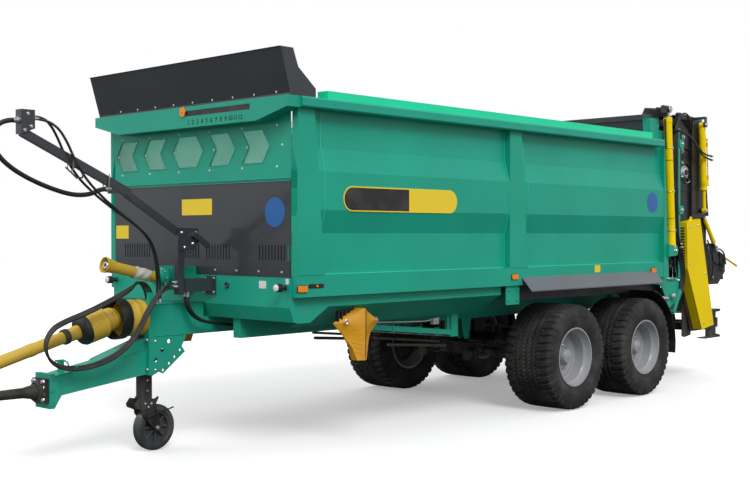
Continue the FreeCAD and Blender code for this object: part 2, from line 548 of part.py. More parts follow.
def drawbar():
    """The drawbar: neck box, bulkhead, tapered beam, side plates with their rows of holes, towing eye."""
    front = ahead("bulkhead_at")
    rear = ahead("bulkhead_at - bulkhead_thick")
    neck = block("neck_box", ("-drawbar_half", "drawbar_half"),
                 (rear, ahead("body_front + front_beam_reach")),
                 ("neck_foot", "neck_top"))
    hollow = block("neck_hollow", ("-drawbar_half + 10", "drawbar_half - 10"),
                   (rear + " - 1", ahead("body_front + front_beam_reach - 1")),
                   ("neck_foot + 10", "neck_top - 10"))
    lower = block("neck_tail", ("-drawbar_half", "drawbar_half"),
                  (ahead("body_front + front_beam_reach + 1"), ahead("rail_start")),
                  ("neck_foot", "front_beam_foot - 1"))
    head = prism("bulkhead", "y", (front, rear), [
        ("-drawbar_half", "bulkhead_foot"), ("-leg_half - housing_wall - 2", "bulkhead_foot"),
        ("-leg_half - housing_wall - 2", "neck_foot + 5"), ("leg_half + housing_wall + 2", "neck_foot + 5"),
        ("leg_half + housing_wall + 2", "bulkhead_foot"), ("drawbar_half", "bulkhead_foot"),
        ("drawbar_half", "neck_top + 95"), ("drawbar_half - 30", "neck_top + 95"),
        ("drawbar_half - 30", "neck_top + 30"), ("-drawbar_half", "neck_top + 30")])
    beam = prism("beam_box", "x", ("-beam_half", "beam_half"), [
        (ahead("beam_front - plate_thick"), "beam_front_foot"), (front, "beam_rear_foot"),
        (front, "beam_rear_top"), (ahead("beam_front - plate_thick"), "beam_front_top")])
    gusset = prism("beam_gusset", "x", ("-beam_half + 20", "beam_half - 20"), [
        (ahead("bulkhead_at + 460"), "beam_rear_top - 85"), (front, "beam_rear_top - 5"),
        (front, "drive_z - bell_radius"), (ahead("bulkhead_at + 420"), "beam_rear_top - 50")])
    plate = prism("end_plate", "x", ("-plate_half", "plate_half"), [
        (ahead("beam_front"), "plate_foot"), (ahead("beam_front - plate_thick"), "plate_foot"),
        (ahead("beam_front - plate_thick - 60"), "beam_front_foot + 10"),
        (ahead("beam_front - plate_thick"), "plate_head"), (ahead("beam_front"), "plate_head")])
    hook = fused("hose_hook_weld",
                 block("hose_hook", ("-8", "8"), (ahead("beam_front - 130"), ahead("beam_front - 180")),
                       ("beam_front_top + 10", "beam_front_top + 107")),
                 block("hose_hook_tip", ("-8", "8"), (ahead("beam_front - 110"), ahead("beam_front - 180")),
                       ("beam_front_top + 97", "beam_front_top + 112")))
    side_plate = prism("hole_plate", "x", ("drawbar_half - 12", "drawbar_half"), [
        (rear, "bulkhead_foot"), (ahead("bulkhead_at - 94"), "bulkhead_foot + 22"),
        (ahead("bulkhead_at - 138"), "bulkhead_foot + 3"), (ahead("bulkhead_at - 360"), "neck_foot - 139"),
        (ahead("bulkhead_at - 326"), "neck_foot - 95"), (ahead("bulkhead_at - 376"), "neck_foot"),
        (rear, "neck_foot")],
        holes=[(ahead("bulkhead_at - %d" % back), "neck_foot - %d" % down, size) for back, down, size in (
            (198, 45, "big_hole"), (130, 115, "big_hole"), (68, 190, "big_hole"), (310, 125, "small_hole"),
            (255, 177, "small_hole"), (200, 227, "small_hole"), (140, 277, "small_hole"))])
    body = fused("drawbar_weld", less("neck_open", neck, hollow), lower, head, beam, gusset, plate, hook,
                 side_plate, mirrored("hole_plate_r", side_plate))
    shell = "leg_half + housing_wall"
    well = block("jack_well", ("-(%s)" % shell, shell),
                 (ahead("jack_at + " + shell), ahead("jack_at - (%s)" % shell)),
                 ("bulkhead_foot - 20", "neck_foot"))
    node("drawbar", less("drawbar_cut", body, well))

    eye_front = ahead("eye_at")
    flange = block("eye_flange", ("-flange_width / 2", "flange_width / 2"),
                   (ahead("beam_front + 35"), ahead("beam_front")),
                   ("eye_z - flange_height / 2 + 8", "eye_z + flange_height / 2 + 8"))
    shank = turned("eye_shank", [("0", "0"), ("0", "34"), ("eye_at - beam_front - 200", "40"),
                                 ("eye_at - beam_front - 110", "58"), ("eye_at - beam_front - 45", "66"),
                                 ("eye_at - beam_front - 45", "0")], "y",
                   ("0", ahead("eye_at - eye_bore - 10"), "eye_z"))
    ring = bar("eye_ring", "z", ("0", eye_front), ("eye_z - eye_thick / 2", "eye_z + eye_thick / 2"),
               "eye_radius")
    bore = bar("eye_bore_cut", "z", ("0", eye_front), ("eye_z - 100", "eye_z + 100"), "eye_bore")
    node("towing_eye", less("eye_bored", fused("eye_weld", flange, shank, ring), bore))


def jack():
    """The jack: housing in the drawbar, square leg, fork and wheel."""
    y = ahead("jack_at")
    outer, inner = "(leg_half + housing_wall)", "(leg_half + seat_gap)"
    housing = less("housing_open",
                   block("housing_box", ("-" + outer, outer), (y + " - " + outer, y + " + " + outer),
                         ("bulkhead_foot - 15", "neck_foot")),
                   block("housing_hollow", ("-" + inner, inner), (y + " - " + inner, y + " + " + inner),
                         ("bulkhead_foot - 16", "neck_foot - 8")))
    node("jack_housing", housing)
    leg = block("leg_tube", ("-leg_half", "leg_half"), (y + " - leg_half", y + " + leg_half"),
                ("leg_foot", "leg_top"))
    axle_y = y + " + jack_trail"
    cheek = prism("fork_cheek", "x", ("jack_wheel_width / 2 + 6", "jack_wheel_width / 2 + 6 + fork_plate"), [
        (y + " - leg_half - 25", "leg_foot - 25"), (y + " - leg_half", "leg_foot + 32"),
        (y + " + leg_half + 15", "leg_foot + 12"), (y + " + leg_half + 35", "leg_foot - 60"),
        (axle_y + " + 28", "jack_wheel_radius + 10"), (axle_y + " + 20", "jack_wheel_radius - 24"),
        (axle_y + " - 20", "jack_wheel_radius - 24"), (y + " - leg_half - 10", "leg_foot - 110")])
    crown = block("fork_crown", ("-jack_wheel_width / 2 - 6 - fork_plate",
                                 "jack_wheel_width / 2 + 6 + fork_plate"),
                  (y + " - leg_half", y + " + leg_half + 8"), ("leg_foot - 10", "leg_foot + 10"))
    pin = bar("fork_pin", "x", (axle_y, "jack_wheel_radius"),
              ("-jack_wheel_width / 2 - 22", "jack_wheel_width / 2 + 22"), "jack_pin_radius")
    node("jack_leg", fused("jack_leg_weld", leg, cheek, mirrored("fork_cheek_r", cheek), crown, pin))
    half = "jack_wheel_width / 2"
    node("jack_wheel", turned("jack_wheel_ring", [
        ("-" + half, "jack_pin_radius + stub_play"), (half, "jack_pin_radius + stub_play"), (half, "34"),
        (half + " - 18", "36"), (half + " - 18", "100"), (half + " - 4", "112"),
        (half, "jack_wheel_radius - 50"), (half + " - 6", "jack_wheel_radius - 16"),
        (half + " - 20", "jack_wheel_radius - 3"), ("0", "jack_wheel_radius"),
        ("-(%s - 20)" % half, "jack_wheel_radius - 3"), ("-(%s - 6)" % half, "jack_wheel_radius - 16"),
        ("-" + half, "jack_wheel_radius - 50"), ("-(%s - 4)" % half, "112"), ("-(%s - 18)" % half, "100"),
        ("-(%s - 18)" % half, "36"), ("-" + half, "34")], place=("0", axle_y, "jack_wheel_radius")))


# ---------------------------------------------------------------- drive shaft

def tilted(name, outline):
    """A turned piece on the drive shaft's own axis, running forwards and down from its joint."""
    upright = turned(name, [("-(%s)" % along, radius) for along, radius in outline], "y")
    return placed(group(name + "_set", upright), ("0", ahead("joint_at"), "drive_z"), (1, 0, 0),
                  "shaft_angle")


def drive_shaft():
    """The drive shaft that couples to a tractor: shaft, its guard, and the shield round its joint."""
    ball = DOC.addObject("Part::Sphere", "shaft_ball")
    ball.setExpression("Radius", "Sizes.ball_radius")
    ball.setExpression(".Placement.Base.y", formula(ahead("joint_at")))
    ball.setExpression(".Placement.Base.z", "Sizes.drive_z")
    node("drive_shaft", fused("shaft_weld", ball, tilted("shaft_bar", [
        ("10", "0"), ("10", "ball_radius * 0.7"), ("60", "ball_radius * 0.7"), ("60", "shaft_radius + 30"),
        ("150", "shaft_radius + 30"), ("150", "shaft_radius"), ("shaft_length - 190", "shaft_radius"),
        ("shaft_length - 190", "shaft_radius + 22"), ("shaft_length - 60", "shaft_radius + 22"),
        ("shaft_length - 60", "shaft_radius + 14"), ("shaft_length", "shaft_radius + 14"),
        ("shaft_length", "spline_bore"), ("shaft_length - spline_length", "spline_bore"),
        ("shaft_length - spline_length", "0")])))
    guard = tilted("guard_tube", [
        ("290", "shaft_radius + seat_gap"), ("shaft_length - 330", "shaft_radius + seat_gap"),
        ("shaft_length - 190", "cone_radius - guard_wall - 4"),
        ("shaft_length - 100", "cone_radius - guard_wall"),
        ("shaft_length - 100", "cone_radius"), ("shaft_length - 195", "cone_radius"),
        ("shaft_length - 335", "guard_radius"), ("340", "guard_radius"), ("290", "cone_radius - 20"),
        ("250", "cone_radius"), ("80", "cone_radius"), ("80", "cone_radius - 5"), ("245", "cone_radius - 6")])
    y = ahead("joint_at")
    stub = turned("stub_outline", [
        ("ball_radius + 12", "0"), ("ball_radius + 12", "ball_radius + 40"),
        ("-ball_radius * 0.3", "ball_radius + 40"),
        ("-ball_radius * 0.3", "ball_radius + 6"), ("ball_radius + stub_play", "ball_radius + 6"),
        ("ball_radius + stub_play", "0")], "y", ("0", y, "drive_z"))
    tail = bar("stub_tail", "y", ("0", "drive_z"), (y + " + ball_radius + 10", ahead("bulkhead_at")),
               "tail_radius")
    drum = turned("drum_outline", [
        ("0", "drum_shield_radius - 4"), ("190", "drum_shield_radius - 4"), ("190", "tail_radius"),
        ("200", "tail_radius"),
        ("200", "drum_shield_radius"), ("30", "drum_shield_radius"), ("30", "bell_radius - 6"),
        ("-60", "bell_radius - 2"), ("-60", "bell_radius - 8"), ("0", "bell_radius - 14")],
        "y", ("0", ahead("bulkhead_at + 200"), "drive_z"))
    node("drive_input", fused("drive_input_weld", stub, tail))
    wall = "body_front + front_beam_reach"
    tube = placed(group("upper_guard_set", turned("upper_guard", [
        ("0", "guard_radius - 12"), ("-input_guard", "guard_radius - 12"),
        ("-input_guard", "guard_radius - 3"),
        ("0", "guard_radius - 3")], "y")),
        ("input_x", ahead(wall + " + gearbox_depth + 135"), "input_z"), (1, 0, 0), "-input_tilt")
    node("drive_guards", group("drive_guard_set", guard, drum, tube))
    box = block("gearbox_case", ("input_x - 130", "input_x + 130"),
                (ahead(wall + " + gearbox_depth"), ahead(wall)), ("input_z - 120", "input_z + 80"))
    nose = bar("gearbox_nose", "y", ("input_x", "input_z - 8"),
               (ahead(wall + " + gearbox_depth + 124"), ahead(wall + " + gearbox_depth")), "input_flange")
    rim = bar("gearbox_rim", "y", ("input_x", "input_z - 8"),
              (ahead(wall + " + gearbox_depth + 60"), ahead(wall + " + gearbox_depth + 40")),
              "input_flange + 20")
    node("floor_drive_gearbox", fused("gearbox_weld", box, nose, rim))


# ---------------------------------------------------------------- rear frame, gate and its cylinders

def leaned(label, item):
    """Leans a finished item of the gate forwards with the rear posts, about the foot of the gate."""
    return node(label, placed(item, ("0", behind("gate_foot_y"), "floor_top"), (1, 0, 0), "lean"))


def rear_frame():
    """The green rear frame: posts, lower cross beam, keepers for the gate and lugs for its cylinders."""
    slope, foot = "tan(lean)", "gate_foot_y - running_gap"
    top = "%s - (rear_post_top - floor_top) * %s" % (foot, slope)
    post = prism("rear_post_box", "x", ("wall_x - steel - rear_post_width - 2", "wall_x - steel - 2"), [
        (behind("body_rear + 2"), "floor_top"), (behind(foot), "floor_top"),
        (behind(top), "rear_post_top"), (behind(top + " - 200"), "rear_post_top"),
        (behind("gate_foot_y - running_gap - 170"), "sill_top + 1"),
        (behind("body_rear + 2"), "sill_top + 1")])
    flange = prism("rear_flange", "x", ("wall_x - steel - 2", "post_x"), [
        (behind("body_rear"), "sill_bottom"), (behind("gate_foot_y - running_gap"), "sill_bottom"),
        (behind("gate_foot_y - running_gap - (rail_bottom - floor_top) * %s" % slope), "rail_bottom"),
        (behind("body_rear"), "rail_bottom")])
    keeper = prism("gate_keeper", "x", ("gate_half + running_gap", "wall_x - steel - 2"), [
        (behind(foot), "floor_top"), (behind("gate_foot_y + 110"), "floor_top"),
        (behind("gate_foot_y + 110 - (rail_bottom + 200 - floor_top) * %s" % slope), "rail_bottom + 200"),
        (behind(top + " + 20"), "rail_bottom + 200")])
    lug_arm = prism("cylinder_lug_arm", "x", ("wall_x - steel - 2", "cylinder_x - cylinder_radius - 8"), [
        (behind("gate_foot_y - 20"), "lug_foot"), (behind("gate_foot_y + 132"), "lug_foot"),
        (behind("gate_foot_y + 132"), "lug_head"), (behind("gate_foot_y - 30"), "lug_head")])
    foot_plate = prism("rear_foot_plate", "x", ("rear_foot_x - 12", "rear_foot_x"), [
        (behind("body_rear + 40"), "sill_bottom - 1"), (behind(foot + " - 4"), "sill_bottom - 1"),
        (behind("rear_foot_y"), "sill_bottom - 60"), (behind("rear_foot_y"), "sill_bottom - 190"),
        (behind("rear_foot_y - 170"), "rear_foot_z"), (behind("rear_foot_y - 290"), "rear_foot_z"),
        (behind("rear_foot_y - 330"), "rear_foot_z + 160")])
    lower = prism("rear_leg", "x", ("rail_axis_x + rail_width / 2", "rail_axis_x + rail_width / 2 + 60"), [
        (behind("gate_foot_y - 90"), "rail_foot"), (behind("gate_foot_y + 180"), "rail_foot"),
        (behind("gate_foot_y + 20"), "sill_bottom"), (behind("gate_foot_y - 90"), "sill_bottom")])
    halves = [post, flange, keeper, lug_arm, lower, foot_plate]
    cross = block("rear_cross", ("-wall_x + steel + 2", "wall_x - steel - 2"),
                  (behind("body_rear + 2"), behind("gate_foot_y - running_gap - 4")),
                  ("rail_head + cross_height + 4", "sill_bottom - 1"))
    node("rear_frame", fused("rear_frame_weld", cross,
                             *(halves + [mirrored(h.Name + "_r", h) for h in halves])))


def gate():
    """The metering gate with its rods, and the barrels that push it up its leaning guides."""
    sheet = block("gate_sheet", ("-gate_half", "gate_half"), ("0", "steel"), ("gate_rise", "gate_height"))
    ribs = [block("gate_rib_%d" % i, ("-gate_half + 20", "gate_half - 20"), ("steel", "steel + gate_rib"),
                  ("gate_rise + 10 + (gate_height - gate_rise - 80) / 4 * %d" % i,
                   "gate_rise + 70 + (gate_height - gate_rise - 80) / 4 * %d" % i)) for i in range(5)]
    top = block("gate_top", ("-gate_half", "gate_half"), ("-40", "steel + gate_rib"),
                ("gate_height", "gate_height + 60"))
    wing = prism("gate_wing", "x", ("gate_half - 12", "gate_half"), [
        ("-320", "gate_height + 40"), ("-250", "gate_height + 120"), ("steel", "gate_height + 120"),
        ("steel + gate_rib", "gate_height + 60"), ("steel + gate_rib", "gate_height + 14"),
        ("-320", "gate_height + 14")])
    arm = block("gate_arm", ("gate_half - 12", "cylinder_x + 30"),
                ("cylinder_back - 58", "cylinder_back - 42"),
                ("gate_height + 20", "gate_height + 110"))
    pin = bar("gate_pin", "x", ("cylinder_back", "gate_eye"), ("gate_half - 12", "cylinder_x + 30"),
              "pin_radius")
    ear = prism("gate_ear", "x", ("gate_half - 12", "gate_half + 8"), [
        ("steel", "gate_height + 14"), ("cylinder_back + 40", "gate_height + 60"),
        ("cylinder_back + 40", "gate_height + 130"), ("steel", "gate_height + 130")])
    sides = [wing, ear, arm, pin]
    leaned("gate", fused("gate_weld", sheet, top,
                         *(ribs + sides + [mirrored(s.Name + "_r", s) for s in sides])))
    line = ("cylinder_x", "cylinder_back")
    rod = fused("gate_rod_weld",
                bar("gate_rod_bar", "z", line, ("cylinder_low + 80", "gate_eye - pin_radius - 4"),
                    "rod_radius"),
                less("gate_rod_eye",
                     bar("gate_eye_ring", "x", ("cylinder_back", "gate_eye"),
                         ("cylinder_x - 22", "cylinder_x + 22"), "pin_radius + 20"),
                     bar("gate_eye_bore", "x", ("cylinder_back", "gate_eye"),
                         ("cylinder_x - 30", "cylinder_x + 30"), "pin_radius")))
    leaned("gate_rods", group("gate_rod_pair", rod, mirrored("gate_rod_r", rod)))
    barrel = less("gate_barrel_open",
                  fused("gate_barrel_weld",
                        bar("gate_barrel_tube", "z", line, ("cylinder_low + 27", "cylinder_top"),
                            "cylinder_radius"),
                        bar("gate_barrel_eye", "x", ("cylinder_back", "cylinder_low"),
                            ("cylinder_x - 30", "cylinder_x + 30"), "40")),
                  bar("gate_barrel_bore", "z", line, ("cylinder_low + 76", "cylinder_top + 5"),
                      "rod_radius + rod_play"))
    pin_low = bar("barrel_pin", "x", ("cylinder_back", "cylinder_low"),
                  ("cylinder_x - cylinder_radius - 8", "cylinder_x + 45"), "pin_radius")
    barrel = fused("gate_barrel_pinned", barrel, pin_low)
    leaned("gate_barrels", group("gate_barrel_pair", barrel, mirrored("gate_barrel_r", barrel)))


# ---------------------------------------------------------------- spreading unit

def unit_frame():
    """The spreading unit's side plates, columns and head beam, and the disc carrier below."""
    bore = "beater_stub + stub_play"
    plate = prism("unit_side", "x", ("side_x", "side_x + side_thick"), [
        (behind("column_front - 200"), "unit_waist"), (behind("column_front - 110"), "unit_skirt + 50"),
        (behind("column_front - 80"), "rail_foot + 10"), (behind("column_front + 60"), "carrier_foot"),
        (behind("disc_y + 70"), "carrier_foot"), (behind("disc_y + 110"), "carrier_foot + 100"),
        (behind("disc_y - 130"), "unit_skirt"), (behind("disc_y - 130"), "unit_waist"),
        (behind("column_rear + 60"), "unit_top"), (behind("column_front - 310"), "unit_top"),
        (behind("column_front - 310"), "unit_waist + 300")],
        holes=[(behind("upper_y"), "upper_z", bore), (behind("lower_y"), "lower_z", bore)])
    column = block("unit_column", ("side_x + side_thick", "side_x + side_thick + 30"),
                   (behind("column_front + 30"), behind("column_rear")), ("unit_waist + 60", "unit_top"))
    hinge = bar("hood_hinge_boss", "x", (behind("hood_hinge_y"), "hood_hinge_z"),
                ("side_x - 50", "side_x + side_thick"), "pin_radius")
    hinge_lug = prism("hood_hinge_lug", "x", ("side_x", "side_x + side_thick"), [
        (behind("hood_hinge_y - 50"), "unit_top - 1"), (behind("hood_hinge_y + 50"), "unit_top - 1"),
        (behind("hood_hinge_y + 28"), "hood_hinge_z + 28"),
        (behind("hood_hinge_y - 28"), "hood_hinge_z + 28")])
    foot = bar("ram_foot_boss", "x", (behind("ram_foot_y"), "ram_foot_z"),
               ("side_x + side_thick", "ram_x - ram_rod - 3"), "pin_radius + 8")
    halves = [plate, column, hinge, hinge_lug, foot]
    head = block("unit_head", ("-side_x", "side_x"),
                 (behind("column_front - 300"), behind("column_front - 220")),
                 ("unit_top - 90", "unit_top - 10"))
    deck = block("unit_deck", ("-side_x", "side_x"),
                 (behind("column_front + 60"), behind("column_front + 150")),
                 ("carrier_foot + 10", "carrier_foot + 100"))
    mount = block("unit_mount", ("-side_x", "side_x"),
                  (behind("column_front - 80"), behind("column_front - 10")),
                  ("rail_foot + 10", "rail_head - 10"))
    node("unit_frame", fused("unit_weld", head, deck, mount,
                             *(halves + [mirrored(h.Name + "_r", h) for h in halves])))

    beam = block("disc_beam", ("-side_x", "side_x"), (behind("disc_y - 60"), behind("disc_y + 60")),
                 ("carrier_foot + 5", "carrier_foot + 90"))
    gears = []
    for side in (1, -1):
        place = ("%d * disc_x" % side, behind("disc_y"))
        gears.append(bar("disc_gear_%d" % (side + 1), "z", place, ("carrier_foot + 89", "disc_z - 45"),
                         "gear_radius"))
        gears.append(bar("disc_stub_%d" % (side + 1), "z", place, ("carrier_foot + 89", "disc_z + 20"),
                         "beater_stub"))
    node("disc_carrier", fused("disc_carrier_weld", beam, *gears))

    shell, hollow = [], []
    for reach, height, inwards, down in (
            (-249, "unit_waist + 14", 10, -8), (-224, "unit_skirt + 267", 8, 1),
            (136, "carrier_foot + 28", 4, 10),
            (435, "carrier_foot + 68", -10, 8), (81, "unit_waist + 55", -7, -10)):
        shell.append((behind("column_front + %d" % reach), height))
        hollow.append((behind("column_front + %d" % (reach + inwards)), "%s + %d" % (height, down)))
    guard = prism("chain_guard_box", "x", ("side_x + side_thick", "guard_face"), shell)
    inside = prism("chain_guard_inside", "x", ("side_x + side_thick - 1", "guard_face - steel"), hollow)
    pair("chain_guards", less("chain_guard_shell", guard, inside))


def limiter():
    """The cover plate behind the discs, its small rams and its setting rods."""
    cheek = prism("limiter_cheek", "x", ("side_x", "side_x + side_thick"), [
        (behind("disc_y - 130"), "unit_skirt + 50"), (behind("disc_y + 190"), "unit_skirt + 50"),
        (behind("disc_y + 380"), "unit_skirt + 200"), (behind("disc_y + 380"), "unit_skirt + 320"),
        (behind("disc_y + 50"), "unit_skirt + 560"), (behind("disc_y - 130"), "unit_skirt + 560")])
    cover = prism("limiter_cover", "x", ("-side_x", "side_x"), [
        (behind("disc_y - 30"), "unit_skirt + 500"), (behind("disc_y + 370"), "unit_skirt + 300"),
        (behind("disc_y + 372"), "unit_skirt + 306"), (behind("disc_y - 28"), "unit_skirt + 506")])
    node("limiter", fused("limiter_weld", cheek, mirrored("limiter_cheek_r", cheek), cover))
    rods = []
    for side in (1, -1):
        for name, length, radius, place, tilt in (
                ("setting", "setting_length", "limiter_rod", ("disc_y + 199", "unit_skirt + 430"),
                 "setting_tilt"),
                ("limiter", "limiter_length", "limiter_ram", ("disc_y - 215", "unit_waist + 52"),
                 "limiter_tilt")):
            rod = bar("%s_bar_%d" % (name, side + 1), "z", ("0", "0"), ("-" + length, "0"), radius)
            rods.append(placed(group("%s_set_%d" % (name, side + 1), rod),
                               ("%d * (side_x + side_thick + %s)" % (side, radius), behind(place[0]),
                                place[1]),
                               (1, 0, 0), tilt))
    node("limiter_rods", group("limiter_rod_set", *rods))


def beater(name, y, z):
    """A milling beater: core tube with end discs, and rows of teeth set along two opposed helices."""
    core = turned(name + "_core", [
        ("-beater_half", "beater_stub + 15"), ("-beater_half", "beater_core + 60"),
        ("-beater_half + 12", "beater_core + 60"), ("-beater_half + 12", "beater_core"),
        ("beater_half - 12", "beater_core"), ("beater_half - 12", "beater_core + 60"),
        ("beater_half", "beater_core + 60"), ("beater_half", "beater_stub + 15"),
        ("beater_half", "0"), ("-beater_half", "0")], place=("0", y, z))
    stub = bar(name + "_stub", "x", (y, z), ("-side_x - side_thick - 45", "side_x + side_thick + 45"),
               "beater_stub")
    teeth = []
    count = 22
    for i in range(count):
        x = (i + 0.5) / count * 2 - 1
        angle = 360 * abs(x) * 1.5
        for flip in (0, 180):
            tooth = block("%s_tooth_%d_%d" % (name, i, flip), ("-tooth_thick / 2", "tooth_thick / 2"),
                          ("-tooth_width / 2", "tooth_width / 2"), ("beater_core - 12", "beater_radius - 4"))
            holder = group("%s_set_%d_%d" % (name, i, flip), tooth)
            placed(holder, ("(beater_half - 60) * %s" % round(x, 5), y, z), (1, 0, 0),
                   str(round(angle + flip, 3)))
            teeth.append(holder)
    return node(name, fused(name + "_weld", core, stub, *teeth))


def disc(name, side):
    """A spreading disc with its throwing vanes, on a hub over its gear head."""
    plate = turned(name + "_plate", [
        ("-40", "beater_stub + stub_play"), ("-40", "70"), ("0", "90"), ("0", "disc_radius"),
        ("disc_thick", "disc_radius"), ("disc_thick", "90"), ("60", "60"), ("60", "0"), ("25", "0"),
        ("25", "beater_stub + stub_play")], "z", ("%d * disc_x" % side, behind("disc_y"), "disc_z"))
    vanes = []
    for i in range(4):
        vane = prism("%s_vane_%d" % (name, i), "z", ("0", "vane_height"), [
            ("100", "-6"), ("disc_radius - 60", "-40"), ("disc_radius - 4", "-110"), ("disc_radius", "-102"),
            ("disc_radius - 54", "-30"), ("100", "6")])
        holder = group("%s_vane_set_%d" % (name, i), vane)
        placed(holder, ("%d * disc_x" % side, behind("disc_y"), "disc_z + disc_thick - 1"), (0, 0, 1),
               str(90 * i + 20))
        vanes.append(holder)
    return node(name, fused(name + "_weld", plate, *vanes))


def hood():
    """The rear hood with its arms, and the two rams, whose rods end beside their bosses on the frame."""
    inner = "side_x - 30"
    sheet = prism("hood_sheet", "x", ("-(%s)" % inner, inner), [
        (behind("hood_hinge_y + 30"), "hood_hinge_z"), (behind("hood_rear - 60"), "hood_hinge_z - 14"),
        (behind("hood_rear"), "hood_hinge_z - 80"), (behind("hood_rear + 45"), "hood_knee"),
        (behind("hood_rear + 130"), "hood_low"), (behind("hood_rear + 136"), "hood_low"),
        (behind("hood_rear + 51"), "hood_knee"), (behind("hood_rear + 6"), "hood_hinge_z - 76"),
        (behind("hood_rear - 56"), "hood_hinge_z - 8"), (behind("hood_hinge_y + 30"), "hood_hinge_z + 6")])
    cheek = prism("hood_cheek", "x", (inner + " - steel", inner), [
        (behind("hood_hinge_y - 40"), "hood_hinge_z - 30"),
        (behind("hood_hinge_y + 60"), "hood_hinge_z - 36"),
        (behind("column_rear + 120"), "hood_hinge_z - 60"), (behind("hood_rear + 45"), "hood_knee"),
        (behind("hood_rear + 51"), "hood_knee"), (behind("hood_rear + 6"), "hood_hinge_z - 76"),
        (behind("hood_rear - 56"), "hood_hinge_z - 8"), (behind("hood_hinge_y"), "hood_hinge_z + 36"),
        (behind("hood_hinge_y - 40"), "hood_hinge_z + 20")],
        holes=[(behind("hood_hinge_y"), "hood_hinge_z", "pin_radius + stub_play")])
    span = (behind("ram_top_y - 26"), behind("ram_top_y + 26"))
    arm = block("hood_arm", (inner, "ram_x + 53"), span, ("unit_top + 12", "unit_top + 40"))
    drop = block("hood_arm_drop", ("ram_x + 41", "ram_x + 53"), span, ("ram_top_z - 28", "unit_top + 40"))
    pin = bar("hood_arm_pin", "x", (behind("ram_top_y"), "ram_top_z"), ("ram_x - 24", "ram_x + 53"),
              "pin_radius - 2")
    halves = [cheek, arm, drop, pin]
    node("hood", fused("hood_weld", sheet, *(halves + [mirrored(h.Name + "_r", h) for h in halves])))

    length = "sqrt((ram_foot_y - ram_top_y) ^ 2 + (ram_foot_z - ram_top_z) ^ 2)"
    tilt = "atan((ram_foot_y - ram_top_y) / (ram_top_z - ram_foot_z))"
    eye = less("ram_eye", bar("ram_eye_ring", "x", ("0", "0"), ("-20", "20"), "ram_radius - 1"),
               bar("ram_eye_bore", "x", ("0", "0"), ("-25", "25"), "pin_radius - 2 + stub_play"))
    tube = less("ram_tube_open", bar("ram_tube", "z", ("0", "0"), ("-ram_body", "-30"), "ram_radius"),
                bar("ram_tube_bore", "z", ("0", "0"), ("-ram_body - 5", "-60"), "ram_rod + rod_play"))
    barrel = fused("ram_barrel_weld", eye, tube)
    foot = "-(%s)" % length
    rod = fused("ram_rod_weld",
                bar("ram_foot_eye", "x", ("0", foot), ("-ram_eye_half", "ram_eye_half"), "ram_radius - 3"),
                bar("ram_foot_pin", "x", ("0", foot), ("-ram_eye_half", "ram_eye_half + 16"), "pin_radius"),
                bar("ram_rod_bar", "z", ("0", "0"), (foot + " + 30", "-80"), "ram_rod"))
    for label, item in (("ram_barrels", barrel), ("ram_rods", rod)):
        both = [group("%s_left" % label, item), mirrored("%s_mirror" % label, item)]
        both[1] = group("%s_right" % label, both[1])
        for side, holder in zip((1, -1), both):
            placed(holder, ("%d * ram_x" % side, behind("ram_top_y"), "ram_top_z"), (1, 0, 0), tilt)
        node(label, group(label + "_pair", *both))


# ---------------------------------------------------------------- wings, chocks, mast

def wings():
    """The sloping wings over the tyres and the rear mudguards."""
    wing = prism("wing_sheet", "y", (ahead("wing_front - 80"), behind("wing_rear - 60")), [
        ("bulge_x", "sill_bottom + 10"), ("bulge_x", "wing_high + 30"), ("wing_x", "wing_low + steel"),
        ("wing_x", "wing_low"), ("bulge_x + steel", "wing_high + 16"),
        ("bulge_x + steel", "sill_bottom + 10")])
    pair("wings", wing)
    centre, radius = behind("wheel_spacing / 2"), "mudguard_radius"
    arc = []
    for layer in ("0", "6"):
        row = []
        for i in range(9):
            angle = math.radians(78 - 11 * i)
            row.append(("%s + (%s + %s) * %.5f" % (centre, radius, layer, math.cos(angle)),
                        "tyre_radius + (%s + %s) * %.5f" % (radius, layer, math.sin(angle))))
        arc.append(row)
    guard = prism("mudguard_arc", "x", ("track / 2 - tyre_width / 2 - 10", "track / 2 + tyre_width / 2"),
                  arc[0] + arc[1][::-1])
    stay = block("mudguard_stay", ("sill_inner_x + 20", "sill_inner_x + 70"),
                 (centre + " + 140", centre + " + 180"),
                 ("tyre_radius + mudguard_radius - 25", "sill_bottom"))
    pair("mudguards", fused("mudguard_weld", guard, stay))


def chock():
    """A wheel chock hung under the skirt on its holder."""
    y = ahead("chock_at")
    wedge = prism("chock_wedge", "x", ("chock_x - 45", "chock_x + 45"), [
        ("%s + %d" % (y, reach), "chock_foot + %d" % up) for reach, up in (
            (-40, 0), (50, 0), (80, 115), (130, 215), (215, 320), (-5, 437), (-235, 315), (-135, 215),
            (-80, 115))])
    holder = block("chock_holder", ("front_beam_half + 1", "front_beam_half + 21"),
                   (y + " - 60", y + " + 50"), ("chock_foot + 400", "sill_bottom"))
    pair("wheel_chocks", fused("chock_weld", wedge, holder))


